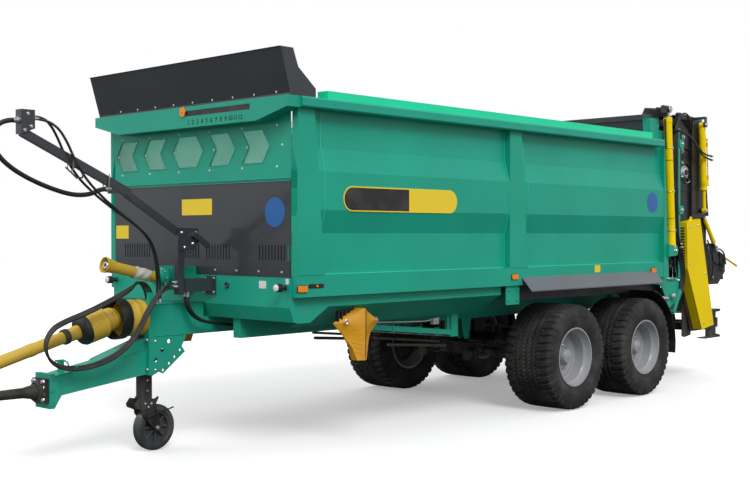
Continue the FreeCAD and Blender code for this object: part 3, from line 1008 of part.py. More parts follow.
def mast():
    """The hose mast on the front beam and its boom, whose profiles are set out from the head of its post."""
    x, half, y = "mast_x", "mast_tube / 2", ahead("mast_at")
    face = "body_front + front_beam_reach"

    def profile(name, low, high, corners):
        return prism(name, "x", (low, high), [
            (ahead("mast_at + %s" % forward), "mast_head + %s" % up) for forward, up in corners])

    post = block("mast_post", (x + " - " + half, x + " + " + half), (y + " - " + half, y + " + " + half),
                 ("mast_foot - 20", "mast_head"))
    foot = block("mast_foot_tube", (x + " - 50", x + " + 50"), (y + " + " + half, ahead(face + " + 14")),
                 ("mast_foot", "mast_foot + 110"))
    pad = block("mast_pad", (x + " - 75", x + " + 75"), (ahead(face + " + 14"), ahead(face)),
                ("mast_foot - 30", "mast_foot + 125"))
    edge = x + " + " + half
    gusset = profile("mast_gusset", edge, edge + " + 8", [
        (40, -185), (-130, -185), (-165, -130), (-165, -4), (40, -4)])
    stub = profile("mast_stub", edge + " + 8", edge + " + 40", [
        (-90, -70), (-250, -170), (-262, -130), (-110, -30)])
    strut = profile("mast_strut", x + " - 22", x + " + 22", [(30, -60), (530, 245), (530, 305), (30, 0)])
    boom = profile("mast_boom", x + " - boom_tube / 2", x + " + boom_tube / 2", [
        (480, 230), ("boom_reach", "boom_rise"), ("boom_reach", "boom_rise + 65"), (480, 300)])
    tip = profile("mast_tip", x + " - 40", x + " + 40", [
        ("boom_reach + 15", "boom_rise + 10"), ("boom_reach - 95", "boom_rise + 55"),
        ("boom_reach - 95", "boom_rise + 190"), ("boom_reach + 15", "boom_rise + 190")])
    gland = block("mast_gland", (x + " - 26", x + " + 26"), (ahead("mast_at + 660"), ahead("mast_at + 610")),
                  ("mast_head + 260", "mast_head + 330"))
    node("hose_mast", fused("mast_weld", post, foot, pad, gusset, stub, strut, boom, tip, gland))


# ---------------------------------------------------------------- hoses

def hose(name, diameter, route):
    """A free hose: straight runs joined by tangent arcs. Its route is a list of (x, distance ahead, z)."""
    points = [FreeCAD.Vector(x, value(ahead(y)), z) for x, y, z in route]
    edges, start, radii = [], points[0], []
    for before, corner, after in zip(points, points[1:], points[2:]):
        into, out = corner - before, after - corner
        half_turn = into.getAngle(out) / 2
        reach = 0.45 * min(into.Length, out.Length)
        radii.append(reach / math.tan(half_turn))
        into.normalize()
        out.normalize()
        inward = out - into
        inward.normalize()
        middle = corner + inward * radii[-1] * (1 / math.cos(half_turn) - 1)
        first, last = corner - into * reach, corner + out * reach
        edges += [Part.LineSegment(start, first).toShape(), Part.Arc(first, middle, last).toShape()]
        start = last
    edges.append(Part.LineSegment(start, points[-1]).toShape())
    line = Part.Wire(edges)
    ring = Part.Wire(Part.makeCircle(diameter / 2, points[0], points[1] - points[0]))
    item = DOC.addObject("Part::Feature", name)
    item.Shape = line.makePipeShell([ring], True, False)
    swept = math.pi * diameter ** 2 / 4 * line.Length
    print("%s: length %.0f, tightest arc %.0f, volume over section times length %.3f" % (
        name, line.Length, min(radii), item.Shape.Volume / swept))
    return item


def hoses():
    """The sleeve and leads on the boom, the loops beside the drawbar, and the hoses under the front."""
    node("hose_sleeve", hose("sleeve", 36, [
        (223, 6185, 2600), (223, 6290, 2600), (223, 6385, 2522), (223, 6390, 2400), (223, 6300, 2290),
        (223, 6150, 2200), (223, 5960, 2125), (223, 5750, 2070), (223, 5590, 2078), (223, 5500, 2125),
        (223, 5420, 2125)]))
    far = hose("far_lead", 20, [
        (205, 6075, 2640), (205, 5985, 2640), (175, 5895, 2590), (160, 5820, 2480), (157, 5760, 2350),
        (157, 5660, 2210), (160, 5520, 2090), (158, 5350, 1975), (150, 5180, 1880), (138, 5030, 1780),
        (110, 4930, 1650), (85, 4885, 1500), (72, 4870, 1380), (70, 4868, 1290), (70, 4868, 1210)])
    near = hose("near_lead", 20, [
        (241, 6075, 2618), (241, 5985, 2618), (272, 5895, 2568), (289, 5825, 2458), (292, 5765, 2325),
        (290, 5665, 2185), (280, 5525, 2062), (262, 5355, 1945), (235, 5185, 1848), (200, 5035, 1745),
        (160, 4945, 1620), (130, 4895, 1480), (114, 4872, 1370), (112, 4868, 1285), (112, 4868, 1210)])
    node("hose_leads", group("lead_set", far, near))
    loops = []
    for i, (start_x, spread) in enumerate(((207, 0), (238, 32), (223, 64))):
        rise = 34 if i == 2 else 0
        start = [(start_x, 4790, 1350 + rise), (start_x, 4880, 1350 + rise)]
        way = [(222, 4985, 1292), (228, 5080, 1180), (230, 5160, 1040), (222, 5270, 905), (198, 5430, 810),
               (172, 5610, 765), (152, 5780, 772), (150, 5905, 835), (150, 5950, 960), (150, 5890, 1075),
               (152, 5770, 1130), (160, 5580, 1190), (165, 5380, 1270), (150, 5185, 1352)]
        way = [(x + spread, y + 12 * i, z - 8 * i) for x, y, z in way]
        end_x = 80 - 42 * i
        end = [(end_x + 40 + 12 * i, 5065, 1402), (end_x + 8, 4965, 1362), (end_x, 4920, 1268),
               (end_x, 4920, 1210)]
        loops.append(hose("loop_%d" % i, 20, start + way + end))
    node("hose_loops", group("loop_set", *loops))
    under = [hose("under_%d" % i, 24, [
        (200 + 44 * i, 4690, 1305), (200 + 44 * i, 4690, 1215), (214 + 38 * i, 4648, 1125),
        (222 + 36 * i, 4560, 1064), (222 + 36 * i, 4430, 1036), (222 + 36 * i, 4270, 1014),
        (222 + 36 * i, 4080, 980), (222 + 36 * i, 3880, 952), (222 + 36 * i, 3680, 948),
        (222 + 36 * i, 3520, 974), (222 + 36 * i, 3400, 1000), (222 + 36 * i, 3300, 1000)]) for i in range(2)]
    node("hose_under", group("under_set", *under))


def build():
    wheels()
    tandem()
    side()
    floor_and_chain()
    chassis()
    front_wall()
    drawbar()
    jack()
    drive_shaft()
    rear_frame()
    gate()
    unit_frame()
    limiter()
    beater("beater_upper", behind("upper_y"), "upper_z")
    beater("beater_lower", behind("lower_y"), "lower_z")
    disc("disc_left", 1)
    disc("disc_right", -1)
    hood()
    wings()
    chock()
    mast()
    hoses()


build()
DOC.recompute()
faults = [o.Name for o in DOC.Objects if "Invalid" in o.State or "Error" in o.State]
faults += [n.Label for n in NODES if n.Shape.isNull() or not n.Shape.isValid() or not n.Shape.Solids]
if faults:
    raise RuntimeError("not built: " + ", ".join(faults))
os.makedirs("parts", exist_ok=True)
for item in NODES:
    item.Shape.exportStep("parts/%s.step" % item.Label)
whole = FreeCAD.BoundBox()
for item in NODES:
    whole.add(item.Shape.BoundBox)
print("nodes %d, solids %d, %s" % (len(NODES), sum(len(n.Shape.Solids) for n in NODES), whole))
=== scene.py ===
"""Finish of a towed muck spreader: every surface, tread, hose, lamp and fitting that the packed frame
carries."""

import math

import bmesh
import bpy
import numpy as np
from bpy.props import FloatProperty, FloatVectorProperty, IntProperty, PointerProperty
from mathutils import Matrix, Vector


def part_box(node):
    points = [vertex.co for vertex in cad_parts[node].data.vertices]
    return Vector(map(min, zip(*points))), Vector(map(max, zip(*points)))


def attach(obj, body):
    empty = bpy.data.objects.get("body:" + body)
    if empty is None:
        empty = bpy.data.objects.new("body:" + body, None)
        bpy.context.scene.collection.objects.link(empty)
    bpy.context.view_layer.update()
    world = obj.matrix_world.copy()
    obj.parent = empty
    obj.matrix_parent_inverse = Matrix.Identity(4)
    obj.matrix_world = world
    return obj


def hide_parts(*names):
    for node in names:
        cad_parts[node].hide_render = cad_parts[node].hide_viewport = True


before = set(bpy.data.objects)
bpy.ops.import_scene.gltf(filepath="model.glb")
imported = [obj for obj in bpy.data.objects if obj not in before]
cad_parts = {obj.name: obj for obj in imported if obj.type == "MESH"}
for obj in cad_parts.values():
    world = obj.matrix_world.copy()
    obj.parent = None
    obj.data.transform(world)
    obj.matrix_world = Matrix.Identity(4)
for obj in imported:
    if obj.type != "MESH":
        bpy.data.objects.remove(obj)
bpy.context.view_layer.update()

bl_info = {
    "name": "Muck spreader",
    "version": (1, 0, 0),
    "blender": (4, 5, 0),
    "location": "3D View > Sidebar > Spreader",
    "description": "Dresses a towed tandem muck spreader",
    "category": "Object",
}


def middle(node):
    """Centre of a CAD node's box."""
    low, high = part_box(node)
    return (low + high) / 2


TANDEM = (middle("front_left_tyre").y + middle("rear_left_tyre").y) / 2
TYRE_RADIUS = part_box("front_left_tyre")[1].z / 2
BODY_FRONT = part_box("front_window_sheet")[0].y
SHAFT_TILT = math.radians(15.6)
GATE_LEAN = math.radians(4)
SIDES = ((1, "left"), (-1, "right"))
ROAD_DUST = (0.3, 0.26, 0.2)
PALE_DUST = (0.33, 0.3, 0.26)
WHITE = (1, 1, 1, 1)
FLOOR_REACH = 60.0
FLOOR_LIT_BY_LAMPS = (0.1, 0.1, 0.1)
FLOOR_SEEN_DARK, FLOOR_SEEN_PALE = (0.86, 0.86, 0.86), (0.9, 0.9, 0.9)
FLOOR_GLOW = 0.3
CAMERA_AT = (7.6685, -10.339, 1.7836)
CAMERA_AZIMUTH, CAMERA_PITCH = math.radians(43.28), math.radians(-0.797)
LENS, SENSOR = 54.0, 36.0


def at(x, y, z):
    """A point stated from the tandem's middle on the ground."""
    return np.array([x, TANDEM + y, z], float)


def from_tandem(outline):
    """An outline of (y, z) stated from the tandem's middle on the ground."""
    return [(TANDEM + y, z) for y, z in outline]


# ---------------------------------------------------------------- meshes

def piece(name, body, material, verts, faces, smooth=False):
    """Makes a mesh piece that rides on a body. verts is (n, 3); faces is a list or array of index rows."""
    mesh = bpy.data.meshes.new(name)
    mesh.from_pydata(np.asarray(verts, float).tolist(), [], [list(map(int, f)) for f in faces])
    mesh.validate()
    obj = bpy.data.objects.new(name, mesh)
    bpy.context.scene.collection.objects.link(obj)
    tidy = bmesh.new()
    tidy.from_mesh(mesh)
    bmesh.ops.remove_doubles(tidy, verts=tidy.verts, dist=1e-5)
    bmesh.ops.recalc_face_normals(tidy, faces=tidy.faces)
    tidy.to_mesh(mesh)
    tidy.free()
    if smooth:
        mesh.shade_smooth()
        mesh.set_sharp_from_angle(angle=math.radians(smooth if smooth is not True else 40))
    mesh.materials.append(material)
    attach(obj, body)
    return obj


def rounded(obj, width, segments=2, angle=35):
    """Bevels the piece's sharp edges."""
    bevel = obj.modifiers.new("edges", "BEVEL")
    bevel.width = width
    bevel.segments = segments
    bevel.limit_method = "ANGLE"
    bevel.angle_limit = math.radians(angle)
    bevel.harden_normals = True
    obj.data.shade_smooth()
    obj.data.set_sharp_from_angle(angle=math.radians(angle))
    return obj


class Solid:
    """Faces gathered for one piece. Each add_ method appends a surface worked out as whole arrays."""

    def __init__(self):
        self.verts, self.faces, self.count = [], [], 0

    def add(self, verts, faces):
        self.verts.append(np.asarray(verts, float).reshape(-1, 3))
        self.faces += [[self.count + int(i) for i in f] for f in faces]
        self.count += len(self.verts[-1])
        return self

    def add_grid(self, points, wrap_u=False, wrap_v=False):
        """points is (u, v, 3). Neighbours in u and v are joined into quads; a wrapped way closes on
        itself."""
        n, m = points.shape[:2]
        index = np.arange(n * m).reshape(n, m)
        if wrap_u:
            index = np.vstack([index, index[:1]])
        if wrap_v:
            index = np.hstack([index, index[:, :1]])
        quads = np.stack([index[:-1, :-1], index[1:, :-1], index[1:, 1:], index[:-1, 1:]], -1).reshape(-1, 4)
        return self.add(points.reshape(-1, 3), quads)

    def add_box(self, low, high, frame_at=None):
        """Eight corners: every mix of the low and high x, y and z, moved by a 4x4 matrix if one is given."""
        mix = np.array([[i & 1, i >> 1 & 1, i >> 2 & 1] for i in range(8)], float)
        corners = np.asarray(low) + mix * (np.asarray(high, float) - np.asarray(low, float))
        if frame_at is not None:
            corners = moved(corners, frame_at)
        return self.add(corners, [(0, 2, 3, 1), (4, 5, 7, 6), (0, 1, 5, 4), (2, 6, 7, 3), (0, 4, 6, 2),
            (1, 3, 7, 5)])

    def add_block(self, one, other):
        """A box between two opposite corners, given in any order."""
        return self.add_box(*np.sort([one, other], axis=0))

    def add_slab(self, outline, side, near, far):
        """A prism along x, between two distances from the middle plane, on the side that is 1 or -1."""
        return self.add_prism(outline, "x", *sorted((side * near, side * far)))

    def add_prism(self, outline, axis, low, high, frame_at=None):
        """An outline in the two other coordinates, at the low and the high end of an axis, with its sides."""
        flat = np.asarray(outline, float)
        n = len(flat)
        ends = [np.insert(flat, "xyz".index(axis), end, axis=1) for end in (low, high)]
        i = np.arange(n)
        sides = np.stack([i, (i + 1) % n, (i + 1) % n + n, i + n], -1).tolist()
        verts = np.vstack(ends)
        if frame_at is not None:
            verts = moved(verts, frame_at)
        return self.add(verts, sides + [list(range(n))[::-1], list(range(n, 2 * n))])

    def add_turned(self, profile, centre, direction, steps=48, close=True):
        """A profile of (along, radius) turned about a line: centre + along d + radius (p cos t + q sin t)."""
        d = unit(direction)
        p, q = across(d)
        profile = np.asarray(profile, float)
        t = np.linspace(0, 2 * np.pi, steps, endpoint=False)
        ring = np.cos(t)[:, None] * p + np.sin(t)[:, None] * q
        points = np.asarray(centre,
            float) + profile[None, :, :1] * d + profile[None, :, 1:] * ring[:, None, :]
        return self.add_grid(points, wrap_u=True, wrap_v=close)

    def add_tube(self, path, radius, steps=10, ends=True):
        """A ring of points carried along a path; each ring stands square to the path's mean direction
        there."""
        path = np.asarray(path, float)
        radius = np.broadcast_to(np.asarray(radius, float), (len(path),))
        way = np.gradient(path, axis=0)
        way /= np.linalg.norm(way, axis=1)[:, None]
        side = np.empty_like(path)
        side[0] = across(way[0])[0]
        for i in range(1, len(path)):
            side[i] = side[i - 1] - way[i] * side[i - 1].dot(way[i])
            side[i] /= np.linalg.norm(side[i])
        other = np.cross(way, side)
        t = np.linspace(0, 2 * np.pi, steps, endpoint=False)
        rings = path[:, None] + radius[:, None, None] * (np.cos(t)[None, :, None] * side[:, None]
            + np.sin(t)[None, :, None] * other[:, None])
        start = self.count
        self.add_grid(rings, wrap_v=True)
        if ends:
            self.faces += [list(range(start, start + steps)), list(range(self.count - steps,
                self.count))[::-1]]
        return self

    def add_bolt(self, centre, direction, size=0.02, height=None, steps=6):
        """A hexagon head on a round washer, standing on a face."""
        height = height or size * 0.55
        self.add_turned([(0, 0), (0, size * 0.95), (size * 0.13, size * 0.9), (size * 0.13, 0)], centre,
            direction, 16, False)
        start = np.asarray(centre, float) + unit(direction) * size * 0.13
        return self.add_turned([(0, 0), (0, size * 0.68), (height * 0.85, size * 0.68), (height, size * 0.58),
            (height, 0)], start, direction, steps, False)

    def add_mirror(self):
        """Everything so far again on the machine's other side: x changes sign and each face is turned
        round."""
        verts = np.vstack(self.verts) * np.array([-1, 1, 1])
        return self.add(verts, [f[::-1] for f in self.faces])

    def make(self, name, body, material, slot, smooth=False):
        return piece(name, body, material, np.vstack(self.verts), self.faces, smooth)


def unit(v):
    v = np.asarray(v, float)
    return v / np.linalg.norm(v)


def across(d):
    """Two directions square to d and to each other."""
    helper = np.array([0, 0, 1.0]) if abs(d[2]) < 0.9 else np.array([0, 1.0, 0])
    p = unit(np.cross(helper, d))
    return p, np.cross(d, p)


def moved(points, matrix):
    """Points moved by a 4x4 matrix."""
    m = np.array(matrix)
    return points @ m[:3, :3].T + m[:3, 3]


def arc(centre, radius, start, end, steps):
    """Points on a circle arc, angles in degrees: centre + radius (cos t, sin t)."""
    t = np.radians(np.linspace(start, end, steps))
    return np.stack([centre[0] + radius * np.cos(t), centre[1] + radius * np.sin(t)], -1)


def round_box(low, high, radius, steps=4):
    """A rectangle with rounded corners, as an outline of two coordinates."""
    (x0, y0), (x1, y1) = low, high
    return np.vstack([arc((x1 - radius, y1 - radius), radius, 0, 90, steps),
        arc((x0 + radius, y1 - radius), radius, 90, 180, steps), arc((x0 + radius, y0 + radius), radius, 180,
        270, steps), arc((x1 - radius, y0 + radius), radius, 270, 360, steps)])


def smooth_line(points, order=3):
    """Points along a clamped NURBS line through its ends, read back from a curve with no bevel."""
    curve = bpy.data.curves.new("line", "CURVE")
    curve.dimensions = "3D"
    spline = curve.splines.new("NURBS")
    spline.points.add(len(points) - 1)
    for point, place in zip(spline.points, points):
        point.co = (*place, 1)
    spline.order_u = order
    spline.use_endpoint_u = True
    spline.resolution_u = 10
    obj = bpy.data.objects.new("line", curve)
    mesh = bpy.data.meshes.new_from_object(obj)
    read = np.empty(len(mesh.vertices) * 3)
    mesh.vertices.foreach_get("co", read)
    bpy.data.objects.remove(obj)
    bpy.data.meshes.remove(mesh)
    bpy.data.curves.remove(curve)
    return read.reshape(-1, 3)


# ---------------------------------------------------------------- materials

def shader(name):
    """A new material with its Principled shader and a small builder for its nodes."""
    material = bpy.data.materials.new(name)
    material.use_nodes = True
    nodes, links = material.node_tree.nodes, material.node_tree.links
    principled = nodes["Principled BSDF"]

    def put(kind, inputs=(), **settings):
        """Adds a node, sets its fields, and fills its inputs with a value or with another node's output."""
        new = nodes.new(kind)
        for key, setting in settings.items():
            setattr(new, key, setting)
        for key, given in dict(inputs).items():
            if isinstance(given, bpy.types.NodeSocket):
                links.new(given, new.inputs[key])
            else:
                new.inputs[key].default_value = given
        return new

    def wire(socket, target, at_node=principled):
        links.new(socket, at_node.inputs[target])

    return material, principled, put, wire


def noise(put, scale, detail=3.0, stretch=(1, 1, 1)):
    """Noise on Object coordinates, from 0 to 1."""
    where = put("ShaderNodeTexCoord").outputs["Object"]
    if stretch != (1, 1, 1):
        where = put("ShaderNodeMapping", {"Vector": where, "Scale": stretch}).outputs[0]
    return put("ShaderNodeTexNoise", {"Vector": where, "Scale": scale, "Detail": detail}).outputs["Fac"]


def ramp(put, value, low, high, out_low=0.0, out_high=1.0):
    """Maps a value from one range to another, clamped."""
    return put("ShaderNodeMapRange", {"Value": value, "From Min": low, "From Max": high, "To Min": out_low,
        "To Max": out_high}).outputs[0]


def mixed(put, factor, one, two, blend="MIX"):
    """Mixes two colours by a factor."""
    node = put("ShaderNodeMix", {"Factor": factor}, data_type="RGBA", blend_type=blend)
    for key, given in (("A", one), ("B", two)):
        socket = [s for s in node.inputs if s.name == key and s.type == "RGBA"][0]
        if isinstance(given, bpy.types.NodeSocket):
            node.id_data.links.new(given, socket)
        else:
            socket.default_value = (*given[:3], 1)
    return [s for s in node.outputs if s.type == "RGBA"][0]


def shade(colour, factor):
    """A colour made lighter or darker."""
    return tuple(min(1.0, c * factor) for c in colour[:3])


def height(put):
    """World height of a point at rest, as the pieces sit at the origin."""
    where = put("ShaderNodeTexCoord").outputs["Object"]
    return put("ShaderNodeSeparateXYZ", {"Vector": where}).outputs["Z"]


def paint(name, colour, rough=0.34, coat=0.35, mottle=0.1, dust=0.35, gloss=0.25):
    """Sprayed paint: faint clouding, orange peel, and road dust that thins out upwards."""
    material, base, put, wire = shader(name)
    cloud = noise(put, 1.7, 4)
    tone = mixed(put, ramp(put, cloud, 0.3, 0.7), shade(colour, 1 - mottle), shade(colour, 1 + mottle))
    if dust:
        low = ramp(put, height(put), 0.35, 1.5, dust, 0.0)
        streak = ramp(put, noise(put, 9.0, 6, (1, 1, 0.35)), 0.35, 0.75)
        amount = put("ShaderNodeMath", {0: low, 1: streak}, operation="MULTIPLY").outputs[0]
        tone = mixed(put, amount, tone, ROAD_DUST)
        wire(ramp(put, amount, 0.0, 0.5, rough, min(1, rough + 0.3)), "Roughness")
    else:
        wire(ramp(put, cloud, 0.3, 0.7, rough * 0.85, rough * 1.15), "Roughness")
    wire(tone, "Base Color")
    bump = put("ShaderNodeBump", {"Height": noise(put, 170.0, 2), "Strength": 0.05, "Distance": 0.004})
    wire(bump.outputs[0], "Normal")
    base.inputs["Specular IOR Level"].default_value = gloss
    base.inputs["Coat Weight"].default_value = coat
    base.inputs["Coat Roughness"].default_value = 0.12
    return material


def metal(name, colour, rough=0.3, grain=0.12, metallic=0.9):
    """Bare or plated steel: fine grain along the piece and a clouded gloss."""
    material, base, put, wire = shader(name)
    cloud = noise(put, 22.0, 5)
    wire(mixed(put, ramp(put, cloud, 0.3, 0.7), shade(colour, 0.85), shade(colour, 1.1)), "Base Color")
    wire(ramp(put, noise(put, 90.0, 4), 0.2, 0.8, rough * (1 - grain * 3), rough * (1 + grain * 3)),
        "Roughness")
    bump = put("ShaderNodeBump", {"Height": noise(put, 240.0, 3), "Strength": grain, "Distance": 0.002})
    wire(bump.outputs[0], "Normal")
    base.inputs["Metallic"].default_value = metallic
    return material


def moulded(name, colour, rough=0.5, grain=0.15, scale=260.0, dust=0.2):
    """Moulded plastic or rubber: fine pebble grain, pale dust in patches."""
    material, _, put, wire = shader(name)
    patches = ramp(put, noise(put, 5.0, 5), 0.45, 0.75, 0.0, dust)
    wire(mixed(put, patches, colour[:3], PALE_DUST), "Base Color")
    wire(ramp(put, noise(put, 30.0, 3), 0.3, 0.7, rough * 0.9, min(1, rough * 1.15)), "Roughness")
    bump = put("ShaderNodeBump", {"Height": noise(put, scale, 2), "Strength": grain, "Distance": 0.002})
    wire(bump.outputs[0], "Normal")
    return material


def finishes(look):
    """Every material of the machine, by the plain name that pieces ask for it with."""
    clear, base, put, wire = shader("window_pane")
    wire(mixed(put, ramp(put, noise(put, 2.4, 3), 0.3, 0.7), (0.48, 0.8, 0.7), (0.62, 0.9, 0.82)),
        "Base Color")
    wire(ramp(put, noise(put, 30.0, 3), 0.2, 0.8, 0.08, 0.22), "Roughness")
    base.inputs["Transmission Weight"].default_value = 0.75
    base.inputs["IOR"].default_value = 1.2
    return {"green": paint("green_paint", look.body_colour, 0.42, 0.1, 0.06, 0.18),
        # painted highlight: a lighter green than the body, standing in for sky light on the sills' top lips
        # and the posts' edges
        "edge": paint("painted_highlight_edge_paint", (0.03, 0.62, 0.38), 0.35, 0.3, 0.05, 0.0),
        "wing": paint("wing_paint", (0.1, 0.12, 0.145), 0.34, 0.6, 0.1, 0.25),
        # painted highlight: the raised strips get a much lighter green than the body, standing in for
        # sunlight on their upward faces
        "strip": paint("bright_green_paint", look.strip_colour, 0.4, 0.2, 0.05, 0.0),
        "dark": paint("anthracite_paint", look.dark_colour, 0.3, 0.45, 0.12, 0.25),
        "black": paint("black_paint", (0.016, 0.017, 0.019), 0.38, 0.15, 0.15, 0.3),
        "yellow": paint("yellow_paint", look.yellow_colour, 0.42, 0.04, 0.04, 0.03, 0.1),
        "silver": paint("silver_paint", (0.36, 0.37, 0.39), 0.36, 0.25, 0.08, 0.15),
        "steel": metal("bare_steel", (0.46, 0.46, 0.47), 0.34), "zinc": metal("zinc_plate",
        (0.62, 0.63, 0.65), 0.26), "worn": metal("worn_steel", (0.2, 0.185, 0.17), 0.5, 0.2, 0.7),
        "tyre": moulded("tyre_rubber", (0.017, 0.017, 0.018), 0.72, 0.25, 150.0, 0.16),
        "rubber": moulded("hose_rubber", (0.012, 0.012, 0.013), 0.48, 0.1, 300.0, 0.1),
        "plastic": moulded("black_plastic", (0.014, 0.014, 0.015), 0.42, 0.18, 260.0, 0.12),
        "guard": moulded("yellow_plastic", (0.66, 0.43, 0.04), 0.42, 0.1, 200.0, 0.18),
        "chock": moulded("chock_plastic", (0.76, 0.36, 0.008), 0.45, 0.12, 200.0, 0.1),
        "amber": moulded("amber_lens", (0.95, 0.28, 0.01), 0.16, 0.05, 400.0, 0.0),
        "red": moulded("red_lens", (0.55, 0.01, 0.01), 0.16, 0.05, 400.0, 0.0),
        "white": moulded("white_lens", (0.8, 0.8, 0.78), 0.2, 0.05, 400.0, 0.0),
        "plate": moulded("yellow_plate", (0.95, 0.7, 0.02), 0.35, 0.03, 400.0, 0.03),
        "disc_blue": moulded("blue_disc", (0.01, 0.13, 0.42), 0.35, 0.03, 400.0, 0.02),
        "film": moulded("pale_film", (0.74, 0.74, 0.7), 0.3, 0.3, 40.0, 0.15), "glass": clear,}


SLOTS = {
    "edge": "green_paint", "wing": "anthracite_paint",
    "green": "green_paint", "strip": "bright_green_paint", "dark": "anthracite_paint", "black": "black_paint",
    "yellow": "yellow_paint", "silver": "silver_rim", "steel": "bare_steel", "zinc": "bare_steel",
    "worn": "bare_steel", "tyre": "tyre", "rubber": "hose_rubber", "plastic": "black_plastic",
    "guard": "yellow_plastic", "chock": "yellow_paint", "amber": "yellow_paint", "red": "black_plastic",
    "white": "silver_rim", "plate": "yellow_paint", "disc_blue": "anthracite_paint", "film": "silver_rim",
    "glass": "window",
}
FINISH = {}
NODE_FINISH = {
    "raised_strips": "strip", "front_slotted_sheet": "dark", "spray_shield": "dark", "front_glazing": "glass",
    "wings": "wing", "mudguards": "plastic", "hose_mast": "dark", "towing_eye": "black",
    "jack_housing": "black",
    "jack_leg": "black", "drive_shaft": "steel", "drive_guards": "guard", "drive_input": "steel",
    "gate": "dark",
    "gate_rods": "zinc", "gate_barrels": "yellow", "ram_barrels": "yellow", "ram_rods": "yellow",
    "hood": "dark",
    "unit_frame": "black", "disc_carrier": "black", "chain_guards": "yellow", "beater_upper": "black",
    # painted shade: the axles' black stands in for the shade that falls on them under the body
    "beater_lower": "black", "disc_left": "steel", "disc_right": "steel", "axles": "black",
    "springs": "black",
    "wheel_chocks": "chock", "scraper_chain": "worn", "jack_wheel": "plastic", "floor": "worn",
    "limiter": "black",
    "limiter_rods": "yellow",
}


def finish_nodes():
    """Gives each carried-over CAD node its material."""
    for name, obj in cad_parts.items():
        if name.endswith("_tyre"):
            kind = "tyre"
        elif name.endswith("_rim"):
            kind = "silver"
        elif name.startswith("hose_") and name != "hose_mast":
            kind = "rubber"
        else:
            kind = NODE_FINISH.get(name, "green")
        obj.data.materials.clear()
        obj.data.materials.append(FINISH[kind])


def build(solid, name, body, kind, smooth=False, bevel=0.0):
    """Makes a piece from a Solid in one of the finishes."""
    obj = solid.make(name, body, FINISH[kind], SLOTS[kind], smooth)
    return rounded(obj, bevel) if bevel else obj


# ---------------------------------------------------------------- wheels

def wave(phase):
    """A triangle wave from -1 to 1."""
    return 4 * np.abs(phase - np.floor(phase) - 0.5) - 1


def groove(distance, half_width, soft=0.35):
    """1 in the middle of a groove and 0 outside it, with sloped flanks."""
    return np.clip((half_width - np.abs(distance)) / (half_width * soft), 0, 1)


def tread_depth(t, u, side):
    """How deep the tread is cut at t pitches round and at u across, -1 to 1: zigzag grooves between fine
    ribs in the middle, and curved grooves between the shoulder lugs, whose spacing is one pitch."""
    zigzag = wave(t * 2)
    cut = np.zeros(np.broadcast(t, u).shape)
    for place in (-0.46, -0.24, 0.0, 0.24, 0.46):
        cut = np.maximum(cut, groove(u - place - 0.035 * zigzag, 0.034))
    ribs = np.clip((0.52 - np.abs(u)) / 0.03, 0, 1)
    fine = groove((t * 2 + 0.5 * wave(u * 4 + 0.25)) % 1 - 0.5, 0.12) * ribs
    cut = np.maximum(cut, 0.55 * fine)
    outside = np.clip((np.abs(u) - 0.5) / 0.05, 0, 1)
    bend = 0.55 * np.clip(np.abs(u) - 0.5, 0, 1) ** 1.3 + 0.5 * (u > 0)
    lug = groove((t + bend) % 1 - 0.5, 0.2 + 0.1 * np.clip(np.abs(u) - 0.6, 0, 1))
    return np.maximum(cut * (1 - outside), lug * outside)


def tyre_surface(centre, side, look):
    """A flotation tyre. Across, the profile runs from bead to bead; round, each point's radius is the
    profile's less the tread depth there."""
    half, bead = look.tyre_width / 2, look.bead_radius
    radius = TYRE_RADIUS
    wall = np.array([(half - 0.036, bead + 0.002), (half - 0.028, bead + 0.022), (half - 0.013, bead + 0.05),
        (half - 0.004, bead + 0.082), (half - 0.0005, radius - 0.15), (half - 0.003, radius - 0.143),
        (half - 0.0005, radius - 0.136), (half - 0.0005, radius - 0.11), (half - 0.002, radius - 0.085)])
    across_tread = np.linspace(1, -1, 69)
    x = across_tread * (half - 0.006)
    drop = 0.004 * across_tread ** 2 + 0.014 * np.clip(np.abs(across_tread) - 0.72, 0, 1) ** 2 / 0.08
    drop += 0.048 * np.clip((np.abs(across_tread) - 0.93) / 0.07, 0, 1) ** 1.6
    profile = np.vstack([wall, np.stack([x, radius - drop], -1), wall[::-1] * [-1, 1]])
    lateral = profile[:, 0] / (half - 0.006)
    pitches = look.tread_pitches
    t = np.linspace(0, pitches, pitches * 16, endpoint=False)
    depth = tread_depth(t[:, None], lateral[None, :], side) * look.tread_depth
    inside = np.zeros(len(profile), bool)
    inside[len(wall) - 2:-(len(wall) - 2)] = True
    edge = np.clip((np.abs(lateral) - 0.97) / 0.05, 0, 1)
    depth = depth * inside * (1 - 0.35 * edge)
    angle = t / pitches * 2 * np.pi
    r = profile[None, :, 1] - depth
    points = np.stack([centre.x + np.broadcast_to(profile[:, 0] * side, r.shape),
        centre.y + r * np.cos(angle)[:, None], centre.z + r * np.sin(angle)[:, None]], -1)
    return Solid().add_grid(points, wrap_u=True)


